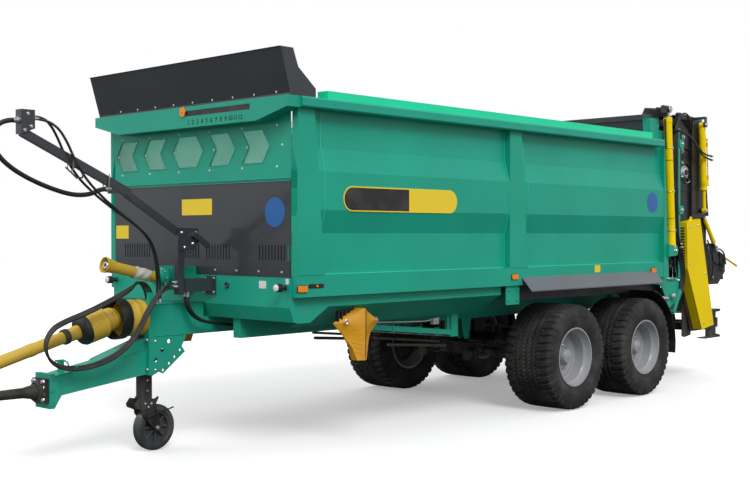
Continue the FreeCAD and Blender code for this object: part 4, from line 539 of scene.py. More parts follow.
def rim_surface(centre, side, look):
    """A deep-dished rim turned about its axle: flange, bead seat, well, disc and hub, with its nuts and
    holes."""
    half, bead = 0.25, look.bead_radius
    out = np.array([side, 0, 0])
    shell = [(half, bead + 0.0125), (half - 0.004, bead + 0.0125), (half - 0.009, bead + 0.006),
        (half - 0.012, bead), (half - 0.05, bead - 0.004), (half - 0.075, bead - 0.024),
        (-half + 0.075, bead - 0.024), (-half + 0.05, bead - 0.004), (-half + 0.009, bead),
        (-half + 0.009, bead + 0.0125), (-half, bead + 0.0125), (-half, bead - 0.008),
        (-half + 0.06, bead - 0.027), (0.02, bead - 0.036), (0.046, bead - 0.036), (0.046, 0.06),
        (0.06, 0.06), (0.06, 0.155), (0.075, 0.172), (0.078, 0.205), (0.068, 0.235), (0.075, bead - 0.036),
        (0.1, bead - 0.034), (half - 0.075, bead - 0.032), (half - 0.055, bead - 0.012),
        (half - 0.012, bead - 0.006), (half, bead - 0.002)]
    rim = Solid().add_turned(shell, centre, out, 96)
    rim.add_turned([(0.046, 0.046), (0.12, 0.052), (0.125, 0.07), (0.075, 0.075), (0.075, 0.125),
        (0.05, 0.13)], centre, out, 48)
    nuts = Solid()
    for i in range(look.wheel_nuts):
        angle = 2 * np.pi * (i + 0.5) / look.wheel_nuts
        spot = np.array(centre) + out * 0.061 + 0.1125 * np.array([0, np.cos(angle), np.sin(angle)])
        nuts.add_bolt(spot, out, 0.024, 0.022)
        nuts.add_turned([(0.02, 0), (0.02, 0.009), (0.038, 0.009), (0.04, 0.007), (0.04, 0)], spot, out, 10,
            False)
    cap = Solid().add_turned([(0.075, 0.075), (0.12, 0.074), (0.15, 0.07), (0.158, 0.062), (0.16, 0.035),
        (0.163, 0.03), (0.166, 0.0)], centre, out, 40, False)
    return rim, nuts, cap


def wheels(look):
    """Treads the four tyres and finishes their rims, nuts, hub caps and drums."""
    for node in ("front_left", "front_right", "rear_left", "rear_right"):
        side = 1 if node.endswith("left") else -1
        centre = middle(node + "_tyre")
        body = node + "_wheel"
        tyre = build(tyre_surface(centre, side, look), node + "_tread", body, "tyre", 30)
        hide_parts(node + "_tyre")
        rim, nuts, cap = rim_surface(centre, side, look)
        shell = build(rim, node + "_dish", body, "silver", 40)
        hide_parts(node + "_rim")
        build(nuts, node + "_nuts", body, "zinc", 30)
        build(cap, node + "_cap", body, "silver", 40)
        drum = Solid().add_turned([(0.046, 0.046), (0.046, 0.208), (-0.134, 0.208), (-0.134, 0.195),
            (-0.125, 0.185), (-0.125, 0.046)], centre, (side, 0, 0), 64)
        build(drum, node + "_drum", body, "black", 40)


# ---------------------------------------------------------------- load body

def plate(name, outline, axis, face, thick, kind, body="machine"):
    """A thin blank plate standing on a face, with a rounded edge."""
    low, high = sorted((face, face + thick))
    build(Solid().add_prism(outline, axis, low, high), name, body, kind, bevel=abs(thick) * 0.3)


def side_fittings(look):
    """Blank plates, round discs, side lamps and reflectors along both sides, and the seams of the sills."""
    fold_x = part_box("side_wall_left")[1].x
    sill_x = fold_x
    for side, hand in SIDES:
        def out(x):
            return side * x
        front, rear, half, middle_z = TANDEM - 3.815, TANDEM - 2.575, 0.103, 2.064
        oval = np.vstack([arc((front, middle_z), half, 90, 270, 14), arc((rear, middle_z), half, -90, 90,
            14)])
        plate("side_plate_" + hand, oval, "x", out(fold_x), out(0.003), "plate")
        dark_end = front - half + 0.55 * (rear - front + 2 * half)
        inner = np.vstack([arc((front, middle_z), half - 0.011, 90, 270, 14),
            [(dark_end, middle_z - half + 0.011), (dark_end, middle_z + half - 0.011)]])
        plate("side_plate_field_" + hand, inner, "x", out(fold_x + 0.003), out(0.0012), "plastic")
        round_disc = arc((TANDEM + 1.0, 2.13), 0.115, 0, 352, 44)
        plate("side_disc_" + hand, round_disc, "x", out(fold_x), out(0.002), "disc_blue")
        sign = round_box((TANDEM - 0.19, 1.375), (TANDEM - 0.085, 1.45), 0.008)
        plate("sill_plate_" + hand, sign, "x", out(sill_x), out(0.002), "plate")
        lamps, glow, holders = Solid(), Solid(), Solid()
        for y, z in ((-4.372, 1.35), (-1.6, 1.3675), (1.02, 1.3675)):
            place = TANDEM + y
            holders.add_prism(round_box((place - 0.056, z - 0.03), (place + 0.056, z + 0.03), 0.01), "x",
                *sorted((out(sill_x), out(sill_x + 0.005))))
            glow.add_prism(round_box((place - 0.049, z - 0.025), (place + 0.049, z + 0.025), 0.008), "x",
                *sorted((out(sill_x + 0.005), out(sill_x + 0.014))))
        build(holders, "reflector_backs_" + hand, "machine", "plastic", bevel=0.002)
        build(glow, "reflectors_" + hand, "machine", "amber", bevel=0.003)
        slot = round_box((TANDEM - 4.305, 1.352), (TANDEM - 4.135, 1.386), 0.016, 6)
        lamps.add_prism(slot, "x", *sorted((out(sill_x), out(sill_x + 0.004))))
        build(lamps, "side_lamp_slot_" + hand, "machine", "plastic", bevel=0.0015)
        lens = arc((TANDEM - 4.215, 1.369), 0.011, 0, 345, 24)
        build(Solid().add_prism(lens, "x", *sorted((out(sill_x + 0.004), out(sill_x + 0.013)))),
            "side_lamp_" + hand, "machine", "amber", bevel=0.004)
        seam = Solid()
        foot = round_box((TANDEM - 1.7, 1.1), (TANDEM - 1.49, 1.284), 0.012)
        seam.add_prism(foot, "x", *sorted((out(1.236), out(1.248))))
        for y, z in ((-1.66, 1.14), (-1.53, 1.14), (-1.66, 1.24), (-1.53, 1.24)):
            seam.add_bolt((out(1.248), TANDEM + y, z), (side, 0, 0), 0.016)
        build(seam, "post_foot_" + hand, "machine", "green", bevel=0.002)
        # The beads along the sill tops and the posts' edges take the lighter 'edge' green, a painted
        # highlight of sky light on those edges.
        bead = Solid()
        for y0, y1 in ((-4.12, -1.7), (-1.4, 1.24)):
            bead.add_tube([at(out(1.2145), y0, 1.457), at(out(1.2145), (y0 + y1) / 2, 1.457),
                at(out(1.2145), y1, 1.457)], 0.0045, 6)
        for y in (-4.125, -1.688, -1.389):
            path = [at(out(x), y, z) for x, z in ((1.2155, 1.46), (1.2155, 1.784), (1.273, 1.97),
                (1.273, 2.274), (1.2215, 2.46), (1.2155, 2.548), (1.2155, 2.755))]
            bead.add_tube(path, 0.0035, 6)
        build(bead, "side_welds_painted_highlight_" + hand, "machine", "edge", 60)
        # painted shade: a thin black strip stands in for the shaded gap between the wall's front post and the
        # sill
        gap = Solid().add_block(at(out(1.215), -4.38, 1.452), at(out(1.2185), -4.135, 1.47))
        build(gap, "wall_foot_gap_painted_shade_" + hand, "machine", "plastic")
        edge = Solid()
        rail_low, rail_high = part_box("top_rails")
        for y in np.arange(rail_low.y + 0.35, rail_high.y - 0.1, 0.62):
            edge.add_bolt((out(rail_high.x - 0.001), y, 2.8), (side, 0, 0), 0.008, 0.004)
        build(edge, "rail_rivets_" + hand, "machine", "green", 30)


def wing_fittings(look):
    """Rolled outer edges, brackets and bolts of the wings over the tyres."""
    low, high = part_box("wings")
    for side, hand in SIDES:
        edge = Solid()
        edge.add_tube([(side * (high.x - 0.006), low.y + 0.003, low.z + 0.006),
            (side * (high.x - 0.006), (low.y + high.y) / 2, low.z + 0.006),
            (side * (high.x - 0.006), high.y - 0.003, low.z + 0.006)], 0.0055, 8)
        build(edge, "wing_edge_" + hand, "machine", "dark", 60)
        ribs = Solid()
        for y in np.linspace(low.y + 0.12, high.y - 0.12, 6):
            outline = [(side * 1.278, 1.3), (side * 1.278, 1.333), (side * 1.375, 1.226),
                (side * 1.36, 1.224)]
            ribs.add_prism(outline, "y", y - 0.003, y + 0.003)
            ribs.add_bolt((side * 1.277, y, 1.305), (side, 0, 0), 0.012)
        build(ribs, "wing_ribs_" + hand, "machine", "dark", bevel=0.0008)


def text_mesh(name, words, size, place, turn, kind, thick=0.0012, body="machine"):
    """Numbers cut from sheet: a text curve turned into a mesh, then set in its place in the mesh itself."""
    curve = bpy.data.curves.new(name, "FONT")
    curve.body = words
    curve.size = size
    curve.extrude = thick
    curve.align_x = "CENTER"
    made = bpy.data.meshes.new_from_object(bpy.data.objects.new(name + "_curve", curve))
    made.transform(Matrix.Translation(Vector(place)) @ turn)
    verts = np.array([v.co for v in made.vertices])
    faces = [list(p.vertices) for p in made.polygons]
    bpy.data.objects.remove(bpy.data.objects[name + "_curve"])
    return piece(name, body, FINISH[kind], verts, faces)


def front_fittings(look):
    """The lip's scale and pointer, window frames, blank plates, lamps, and the folded edges of the front
    wall."""
    lip_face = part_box("front_lip")[0].y
    turn = Matrix.Rotation(math.pi / 2, 4, "X")
    for i in range(12):
        text_mesh("scale_number_%02d" % (i + 1), str(i + 1), 0.055, (0.085 + i * 0.061, lip_face - 0.0005,
            2.69), turn, "black")
    pointer = Solid().add_prism([(-0.02, 2.83), (0.03, 2.845), (0.055, 2.8), (0.03, 2.755), (-0.02, 2.77)],
        "y", lip_face - 0.012, lip_face - 0.002)
    pointer.add_bolt((0.01, lip_face - 0.012, 2.8), (0, -1, 0), 0.012)
    build(pointer, "scale_pointer", "machine", "amber", bevel=0.002)
    lining = Solid().add_prism(round_box((0.041, 2.757), (0.869, 2.807), 0.004), "y", lip_face + 0.004,
        lip_face + 0.01)
    build(lining, "scale_slot_lining", "machine", "plastic")

    wall = BODY_FRONT
    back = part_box("front_slotted_sheet")[1].y
    lining = Solid().add_prism(round_box((-1.14, 1.545), (1.14, 1.715), 0.01), "y", back + 0.0005,
        back + 0.003)
    build(lining, "vent_backing", "machine", "plastic")
    plate("warning_plate", round_box((-0.189, 1.938), (0.222, 2.074), 0.006), "y", wall, -0.002, "plate")
    plate("corner_plate", round_box((-1.18, 1.735), (-0.985, 1.855), 0.006), "y", wall, -0.002, "plate")
    plate("front_disc", arc((1.011, 1.951), 0.118, 0, 352, 44), "y", wall, -0.002, "disc_blue")
    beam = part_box("front_beam")[0].y
    plate("white_plate", round_box((0.84, 1.345), (0.925, 1.405), 0.004), "y", beam, -0.002, "white")
    plate("small_plate", round_box((1.155, 1.385), (1.19, 1.428), 0.004), "y", beam, -0.002, "white")
    grommet = Solid().add_turned([(0, 0.024), (0.01, 0.026), (0.014, 0.021), (0.008, 0.014), (0.0, 0.013)],
        (0.442, beam, 1.358), (0, -1, 0), 28)
    build(grommet, "grommet", "machine", "plastic", 50)

    frames = Solid()
    mid = 2.478
    for i, bend in enumerate((-1, -1, 0, 1, 1)):
        x = 0.423 * (i - 2) - 0.11
        left = -0.092 * (1 if bend <= 0 else -1)
        right = 0.092 * (1 if bend >= 0 else -1)
        outline = np.array([(x - 0.13, 2.342), (x + 0.13, 2.342), (x + 0.13 + right, mid), (x + 0.13, 2.614),
            (x - 0.13, 2.614), (x - 0.13 + left, mid)])
        centre = outline.mean(0)
        inner = centre + (outline - centre) * 0.955
        loop = [np.insert(o, 1, y, axis=1) for o, y in ((outline, wall - 0.0005), (outline, wall - 0.004),
            (inner, wall - 0.004), (inner, wall + 0.005))]
        frames.add_grid(np.stack(loop), wrap_u=True, wrap_v=True)
    build(frames, "window_frames", "machine", "green", bevel=0.0008)
    heads = Solid()
    for x in np.arange(6) * 0.423 - 1.168 + 0.09:
        for z, shift in ((2.634, 0.0), (mid, -0.06 if x < -0.1 else 0.06), (2.31, 0.0)):
            heads.add_bolt((x + shift, wall, z), (0, -1, 0), 0.01, 0.005)
    build(heads, "window_bolts", "machine", "white", 30)

    lamps, lenses, arms = Solid(), Solid(), Solid()
    for side in (1, -1):
        spot = np.array([side * 1.155, beam - 0.075, 1.36])
        lamps.add_turned([(-0.03, 0.0), (-0.03, 0.026), (-0.022, 0.034), (0.022, 0.034), (0.026, 0.03),
            (0.026, 0.0)], spot, (0, -1, 0), 28, False)
        lenses.add_turned([(0.026, 0.0), (0.026, 0.029), (0.034, 0.026), (0.039, 0.014), (0.04, 0.0)], spot,
            (0, -1, 0), 28, False)
        arms.add_tube([spot + (0, 0.028, 0), spot + (0, 0.05, 0), spot + (-side * 0.004, 0.075, 0)],
            [0.02, 0.018, 0.022], 14)
    build(lamps, "front_lamp_bodies", "machine", "plastic", 40)
    build(lenses, "front_lamp_lenses", "machine", "white", 40)
    build(arms, "front_lamp_arms", "machine", "plastic", 50)

    folds = Solid()
    for z in (2.215, 2.195):
        folds.add_tube([(-1.19, wall - 0.002, z), (0, wall - 0.002, z), (1.19, wall - 0.002, z)], 0.004, 8)
    build(folds, "wall_fold", "machine", "green", 60)
    bars = Solid()
    for x in np.linspace(-1.1, 1.1, 9):
        bars.add_bolt((x, wall - 0.01, 1.478), (0, -1, 0), 0.012)
    build(bars, "foot_bar_bolts", "machine", "zinc", 30)


def shield_fittings(look):
    """Rolled edge, stiffening folds and bolts of the spray shield over the front wall."""
    low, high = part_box("spray_shield")
    edge = Solid()
    edge.add_tube([(x, low.y + 0.028, high.z - 0.004) for x in (-1.295, 0, 1.295)], 0.004, 8)
    build(edge, "shield_edge", "machine", "dark", 60)
    bolts = Solid()
    front = BODY_FRONT - 0.099
    for x in np.arange(-4, 5) * 0.262 + 0.097:
        bolts.add_bolt((x, front - 0.001, 2.877), (0, -1, -0.1), 0.012, 0.006)
    build(bolts, "shield_bolts", "machine", "white", 30)


# ---------------------------------------------------------------- drawbar, drive shaft, jack, mast

def drawbar_fittings(look):
    """Coupling flange bolts, shank collars, end-plate bosses, side-plate rims and welds of the drawbar."""
    flange_front = TANDEM - 5.905
    flange_z = 0.598
    bolts = Solid()
    for x in (-0.066, 0.066):
        for z in (-0.068, -0.023, 0.023, 0.068):
            bolts.add_bolt((x, flange_front, flange_z + z), (0, -1, 0), 0.022, 0.016)
    build(bolts, "coupling_bolts", "machine", "zinc", 30)
    collar = Solid()
    collar.add_turned([(0.0, 0.066), (0.0, 0.085), (0.018, 0.089), (0.03, 0.078), (0.034, 0.066)],
        (0, flange_front, 0.59), (0, -1, 0), 40)
    build(collar, "coupling_collar", "machine", "black", 40)
    plate_x = 0.105
    bosses = Solid()
    for side in (1, -1):
        for z in (0.5, 0.6, 0.69):
            bosses.add_turned([(0, 0.01), (0, 0.019), (0.004, 0.019), (0.006, 0.012), (0.001, 0.01)],
                (side * plate_x, TANDEM - 5.85, z), (side, 0, 0), 20)
    build(bosses, "end_plate_bosses", "machine", "green", 40)
    seams = Solid()
    for side in (1, -1):
        seams.add_tube([at(side * 0.0905, -5.83, 0.7), at(side * 0.0905, -5.4, 0.775),
            at(side * 0.0905, -4.99, 0.843)], 0.004, 6)
        seams.add_tube([at(side * 0.0905, -5.83, 0.548), at(side * 0.0905, -5.4, 0.6),
            at(side * 0.0905, -4.99, 0.646)], 0.004, 6)
        seams.add_tube([at(side * 0.128, -4.944, 0.948), at(side * 0.128, -4.7, 0.948),
            at(side * 0.128, -4.44, 0.948)], 0.004, 6)
        seams.add_tube([at(side * 0.128, -4.944, 1.208), at(side * 0.128, -4.7, 1.208),
            at(side * 0.128, -4.44, 1.208)], 0.004, 6)
    build(seams, "drawbar_welds", "machine", "green", 60)
    head = Solid()
    for x, z in ((-0.1, 0.68), (0.1, 0.68), (-0.1, 0.92), (0.1, 0.92)):
        head.add_bolt((x, TANDEM - 4.99, z), (0, -1, 0), 0.018)
    for side in (1, -1):
        for y, z in ((-4.925, 0.675), (-4.925, 0.91)):
            head.add_bolt((side * 0.127, TANDEM + y, z), (side, 0, 0), 0.016)
    build(head, "drawbar_bolts", "machine", "zinc", 30)
    chute = Solid()
    chute.add_tube([at(0.0, -5.715, 0.8), at(0.05, -5.715, 0.812), at(0.1, -5.715, 0.8),
        at(0.13, -5.715, 0.745), at(0.165, -5.715, 0.738), at(0.2, -5.715, 0.752), at(0.245, -5.715, 0.79)],
        0.007, 8)
    build(chute, "hose_rest", "machine", "green", 60)


def along_shaft(distance):
    """A point on the drive shaft's axis, a distance forwards from its joint."""
    return at(0, -5.27 - distance * math.cos(SHAFT_TILT), 1.1 - distance * math.sin(SHAFT_TILT))


def drive_line(look):
    """The drive shaft's ribbed guard cones, tube rings, yoke, chains' eyes and the bell round its joint."""
    ahead_way = unit(along_shaft(1) - along_shaft(0))
    rear_cone = [(0.078, 0.119), (0.085, 0.1215), (0.105, 0.1215), (0.11, 0.1195)]
    for i in range(6):
        start = 0.118 + i * 0.022
        rear_cone += [(start, 0.1195), (start + 0.004, 0.1225), (start + 0.012, 0.1225),
            (start + 0.016, 0.1195)]
    rear_cone += [(0.248, 0.118), (0.256, 0.11), (0.285, 0.075), (0.3, 0.056), (0.4, 0.052), (0.405, 0.0485),
        (0.405, 0.03), (0.29, 0.03), (0.26, 0.085), (0.24, 0.112), (0.078, 0.112)]
    front_cone = [(1.205, 0.0485), (1.208, 0.053), (1.255, 0.056), (1.3, 0.085), (1.335, 0.1135),
        (1.345, 0.1185)]
    for i in range(4):
        start = 1.352 + i * 0.022
        front_cone += [(start, 0.1185), (start + 0.004, 0.1215), (start + 0.012, 0.1215),
            (start + 0.016, 0.1185)]
    front_cone += [(1.441, 0.119), (1.441, 0.112), (1.345, 0.112), (1.26, 0.045), (1.205, 0.036)]
    tube = [(0.395, 0.03), (0.395, 0.0475), (0.7, 0.0475), (0.702, 0.0505), (0.745, 0.0505), (0.748, 0.0475),
        (1.215, 0.0475), (1.215, 0.03)]
    cones = Solid()
    for profile in (rear_cone, front_cone):
        cones.add_turned(profile, along_shaft(0), ahead_way, 64)
    guard = build(cones, "guard_cones", "machine", "guard", 35)
    build(Solid().add_turned(tube, along_shaft(0), ahead_way, 40), "guard_sleeve", "machine", "guard", 40)
    ring = [(0.236, 0.1185), (0.24, 0.1225), (0.262, 0.1225), (0.286, 0.11), (0.302, 0.084), (0.304, 0.058),
        (0.292, 0.058), (0.26, 0.112)]
    build(Solid().add_turned(ring, along_shaft(0), ahead_way, 64), "guard_ring", "machine", "plastic", 35)
    ball = [(-0.05, 0.066), (-0.046, 0.078), (-0.01, 0.092), (-0.004, 0.0885), (0.006, 0.0885),
        (0.012, 0.094), (0.022, 0.094), (0.028, 0.0885), (0.05, 0.078), (0.085, 0.07), (0.085, 0.064),
        (0.05, 0.07), (0.0, 0.08)]
    build(Solid().add_turned(ball, along_shaft(0), ahead_way, 56), "guard_inner_ball", "machine", "guard", 35)
    collars = Solid().add_turned([(0.398, 0.048), (0.398, 0.058), (0.404, 0.061), (0.436, 0.061),
        (0.442, 0.058), (0.442, 0.048)], along_shaft(0), ahead_way, 40)
    build(collars, "guard_collar", "machine", "plastic", 40)

    axis = np.array([0, -1.0, 0])
    start = at(0, -4.99, 1.1)
    drum = [(0.0, 0.03), (0.0, 0.146), (0.02, 0.149), (0.03, 0.1455), (0.075, 0.1455), (0.08, 0.149),
        (0.092, 0.149), (0.097, 0.1455), (0.15, 0.1455), (0.155, 0.15), (0.17, 0.15), (0.17, 0.141),
        (0.012, 0.14), (0.012, 0.03)]
    build(Solid().add_turned(drum, start, axis, 72), "joint_drum", "machine", "guard", 35)
    bell = [(0.16, 0.1425), (0.16, 0.155), (0.175, 0.163), (0.235, 0.166), (0.262, 0.164), (0.262, 0.158),
        (0.235, 0.159), (0.18, 0.15)]
    build(Solid().add_turned(bell, start, axis, 72), "joint_bell", "machine", "plastic", 35)

    yoke = Solid()
    side, up = across(ahead_way)
    for angle in (0, math.pi / 2):
        swing = np.cos(angle) * side + np.sin(angle) * up
        yoke.add_tube([along_shaft(0.012) - swing * 0.052, along_shaft(0.012),
            along_shaft(0.012) + swing * 0.052], 0.014, 16)
        for way in (1, -1):
            yoke.add_turned([(0.03, 0.0), (0.03, 0.021), (0.052, 0.021), (0.055, 0.017), (0.055, 0.0)],
                along_shaft(0.012), swing * way, 20, False)
    yoke.add_turned([(1.36, 0.02), (1.36, 0.05), (1.42, 0.05), (1.43, 0.046), (1.54, 0.0435), (1.54, 0.019),
        (1.5, 0.018)], along_shaft(0), ahead_way, 36)
    for way in (1, -1):
        jaw = [along_shaft(1.352), along_shaft(1.36) + up * way * 0.045,
            along_shaft(1.315) + up * way * 0.052]
        yoke.add_tube(jaw, [0.02, 0.019, 0.018], 14)
    build(yoke, "shaft_yokes", "drive_shaft", "steel", 35)

    tilt = math.radians(13)
    way = np.array([0, -math.cos(tilt), math.sin(tilt)])
    base = at(-0.1, -4.775, 1.42)
    upper = [(0.01, 0.036), (0.01, 0.0455), (0.055, 0.0455), (0.06, 0.05), (0.085, 0.05), (0.09, 0.0455),
        (0.4, 0.0455), (0.405, 0.052), (0.44, 0.054), (0.47, 0.06), (0.498, 0.066), (0.5, 0.06),
        (0.47, 0.052), (0.44, 0.046), (0.4, 0.036)]
    build(Solid().add_turned(upper, base, way, 40), "upper_guard_sleeve", "machine", "guard", 35)
    mouth = Solid().add_turned([(0.445, 0.0), (0.445, 0.047), (0.455, 0.049), (0.455, 0.0)], base, way, 36,
        False)
    build(mouth, "upper_guard_mouth", "machine", "plastic", 40)
    stub = Solid().add_turned([(0.455, 0.016), (0.488, 0.016), (0.488, 0.028), (0.484, 0.031),
        (0.455, 0.031)], base, way, 12)
    build(stub, "upper_guard_yoke", "machine", "zinc", 30)
    wrap_t = np.linspace(0, 2 * np.pi, 60, endpoint=False)
    wrap_s = np.linspace(0.06, 0.215, 24)
    p, q = across(way)
    ripple = 0.0495 + 0.0022 * np.sin(wrap_t * 3 + wrap_s[:, None] * 90) + 0.0016 * np.sin(wrap_t * 7
        - wrap_s[:, None] * 150)
    ring = np.cos(wrap_t)[:, None] * p + np.sin(wrap_t)[:, None] * q
    film = base + wrap_s[:, None, None] * way + ripple[..., None] * ring[None]
    build(Solid().add_grid(film, wrap_v=True), "film_wrap", "machine", "film", 60)
    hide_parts("drive_guards")

    gear = Solid()
    for i in range(8):
        a = 2 * np.pi * i / 8
        gear.add_bolt((-0.1 + 0.072 * np.cos(a), TANDEM - 4.7, 1.412 + 0.072 * np.sin(a)), (0, -1, 0), 0.012)
    build(gear, "gearbox_bolts", "machine", "zinc", 30)
    ribs = Solid()
    for x in np.linspace(-0.215, 0.015, 6):
        ribs.add_box((x - 0.004, TANDEM - 4.648, 1.305), (x + 0.004, TANDEM - 4.45, 1.507))
    build(ribs, "gearbox_ribs", "machine", "green", bevel=0.0015)


def jack_fittings(look):
    """Clamp and pins of the jack's leg, the fork's bolts, and the ribbed wheel with its tyre."""
    low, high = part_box("jack_wheel")
    centre = (low + high) / 2
    leg_y = TANDEM - 4.95
    half = (high.x - low.x) / 2
    tyre = [(-half, 0.139), (-half + 0.001, 0.152), (-half + 0.006, 0.174), (-half + 0.016, 0.185),
        (-0.02, 0.1895), (-0.017, 0.186), (-0.013, 0.186), (-0.01, 0.19), (0.01, 0.19), (0.013, 0.186),
        (0.017, 0.186), (0.02, 0.1895), (half - 0.016, 0.185), (half - 0.006, 0.174), (half - 0.001, 0.152),
        (half, 0.139), (half - 0.008, 0.132), (-half + 0.008, 0.132)]
    build(Solid().add_turned(tyre, centre, (1, 0, 0), 72), "jack_wheel_tyre", "jack_wheel", "dark", 35)
    hub = Solid().add_turned([(-half + 0.004, 0.118), (-half + 0.004, 0.134), (half - 0.004, 0.134),
        (half - 0.004, 0.118), (half - 0.02, 0.112), (0.004, 0.108), (0.004, 0.04), (half - 0.004, 0.037),
        (half - 0.003, 0.014), (-half + 0.003, 0.014), (-half + 0.004, 0.037), (-0.004, 0.04),
        (-0.004, 0.108), (-half + 0.02, 0.112)], centre, (1, 0, 0), 60)
    for i in range(8):
        angle = 2 * np.pi * i / 8
        way = np.array([0, np.cos(angle), np.sin(angle)])
        for side in (1, -1):
            start, end = np.array(centre) + way * 0.036, np.array(centre) + way * 0.116
            lift = np.array([side * 0.017, 0, 0])
            hub.add_tube([start + lift, (start + end) / 2 + lift * 0.95, end + lift],
                [0.0105, 0.0095, 0.0105], 8)
    web = build(hub, "jack_wheel_hub", "jack_wheel", "dark", 35)
    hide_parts("jack_wheel")
    bolts = Solid()
    for side in (1, -1):
        bolts.add_bolt((side * (half + 0.014), centre.y, centre.z), (side, 0, 0), 0.02, 0.014)
    build(bolts, "jack_axle_bolts", "jack_leg", "zinc", 30)
    clamp = Solid()
    outline = [(leg_y - 0.135, 0.4), (leg_y - 0.1, 0.445), (leg_y + 0.03, 0.42), (leg_y + 0.095, 0.452),
        (leg_y + 0.1, 0.436), (leg_y + 0.07, 0.385), (leg_y + 0.02, 0.36), (leg_y - 0.06, 0.345),
        (leg_y - 0.125, 0.372)]
    for side in (1, -1):
        clamp.add_slab(outline, side, 0.0575, 0.0635)
    clamp.add_tube([(0.066, leg_y - 0.02, 0.285), (0.068, leg_y + 0.1, 0.315), (0.068, leg_y + 0.245, 0.345)],
        0.006, 10)
    build(clamp, "jack_clamp", "jack_leg", "black", bevel=0.0015)
    face = 0.0465
    pins = Solid()
    for z in (0.5, 0.585):
        pins.add_turned([(0, 0.0), (0, 0.01), (0.004, 0.009), (0.005, 0.0)], (face, leg_y, z), (1, 0, 0), 20,
            False)
    build(pins, "jack_pins", "jack_leg", "zinc", 35)
    for side in (1, -1):
        rivets = Solid()
        for y, z in ((-0.03, 0.4), (0.03, 0.395), (0.0, 0.37)):
            rivets.add_bolt((side * 0.0635, leg_y + y, z), (side, 0, 0), 0.011)
        build(rivets, "fork_bolts_%d" % (side + 1), "jack_leg", "zinc", 30)


def mast_fittings(look):
    """Bolts, clamp and head plate of the hose mast."""
    x = 0.223
    bolts = Solid()
    for y, z in ((-4.73, 1.67), (-4.65, 1.7), (-4.62, 1.79), (-4.76, 1.79)):
        bolts.add_bolt((x + 0.038, TANDEM + y, z), (1, 0, 0), 0.016)
    for z in (1.295, 1.41):
        for dx in (-0.058, 0.058):
            bolts.add_bolt((x + dx, TANDEM - 4.451, z), (0, -1, 0), 0.014)
    for y, z in ((-6.155, 2.53), (-6.105, 2.56), (-6.13, 2.65)):
        bolts.add_bolt((x + 0.04, TANDEM + y, z), (1, 0, 0), 0.014)
    build(bolts, "mast_bolts", "machine", "zinc", 30)
    clamp = Solid()
    for y, z in ((-5.45, 2.178), (-5.76, 2.318)):
        mid = at(x, y, z)
        clamp.add_tube([mid + (-0.042, 0, 0.06), mid + (-0.042, 0, -0.055), mid + (0.0, 0, -0.072),
            mid + (0.042, 0, -0.055), mid + (0.042, 0, 0.06)], 0.005, 8)
    build(clamp, "mast_clamps", "machine", "zinc", 50)
    hook = Solid().add_tube([at(x + 0.03, -5.82, 2.275), at(x + 0.075, -5.8, 2.235),
        at(x + 0.085, -5.76, 2.195), at(x + 0.08, -5.71, 2.2), at(x + 0.06, -5.69, 2.25)], 0.007, 8)
    build(hook, "mast_hook", "machine", "dark", 50)


# ---------------------------------------------------------------- hoses

def cord_line(name, points, diameter, body="machine", exit_index=0):
    """A free hose along a smooth NURBS line through its route, with a round section."""
    curve = bpy.data.curves.new(name, "CURVE")
    curve.dimensions = "3D"
    curve.bevel_depth = diameter / 2
    curve.bevel_resolution = 4
    curve.use_fill_caps = True
    spline = curve.splines.new("NURBS")
    spline.points.add(len(points) - 1)
    for point, place in zip(spline.points, points):
        point.co = (*place, 1)
    spline.order_u = 3
    spline.use_endpoint_u = True
    spline.resolution_u = 8
    obj = bpy.data.objects.new(name, curve)
    bpy.context.scene.collection.objects.link(obj)
    curve.materials.append(FINISH["rubber"])
    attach(obj, body)
    line = smooth_line(points)
    ends = Solid()
    for end, near in ((points[0], points[1]), (points[-1], points[-2])):
        way = unit(np.asarray(near) - np.asarray(end))
        r = diameter / 2
        ends.add_turned([(0.0, r * 0.9), (0.0, r * 1.45), (0.012, r * 1.45), (0.014, r * 1.2),
            (0.04, r * 1.15), (0.044, r * 0.9)], end, way, 6 if diameter < 0.03 else 24)
    build(ends, name + "_ends", body, "zinc", 30)
    return obj


def route(points):
    """A route's points, given as (x, distance ahead of the tandem, z) in millimetres."""
    return [at(x / 1000, -y / 1000, z / 1000) for x, y, z in points]


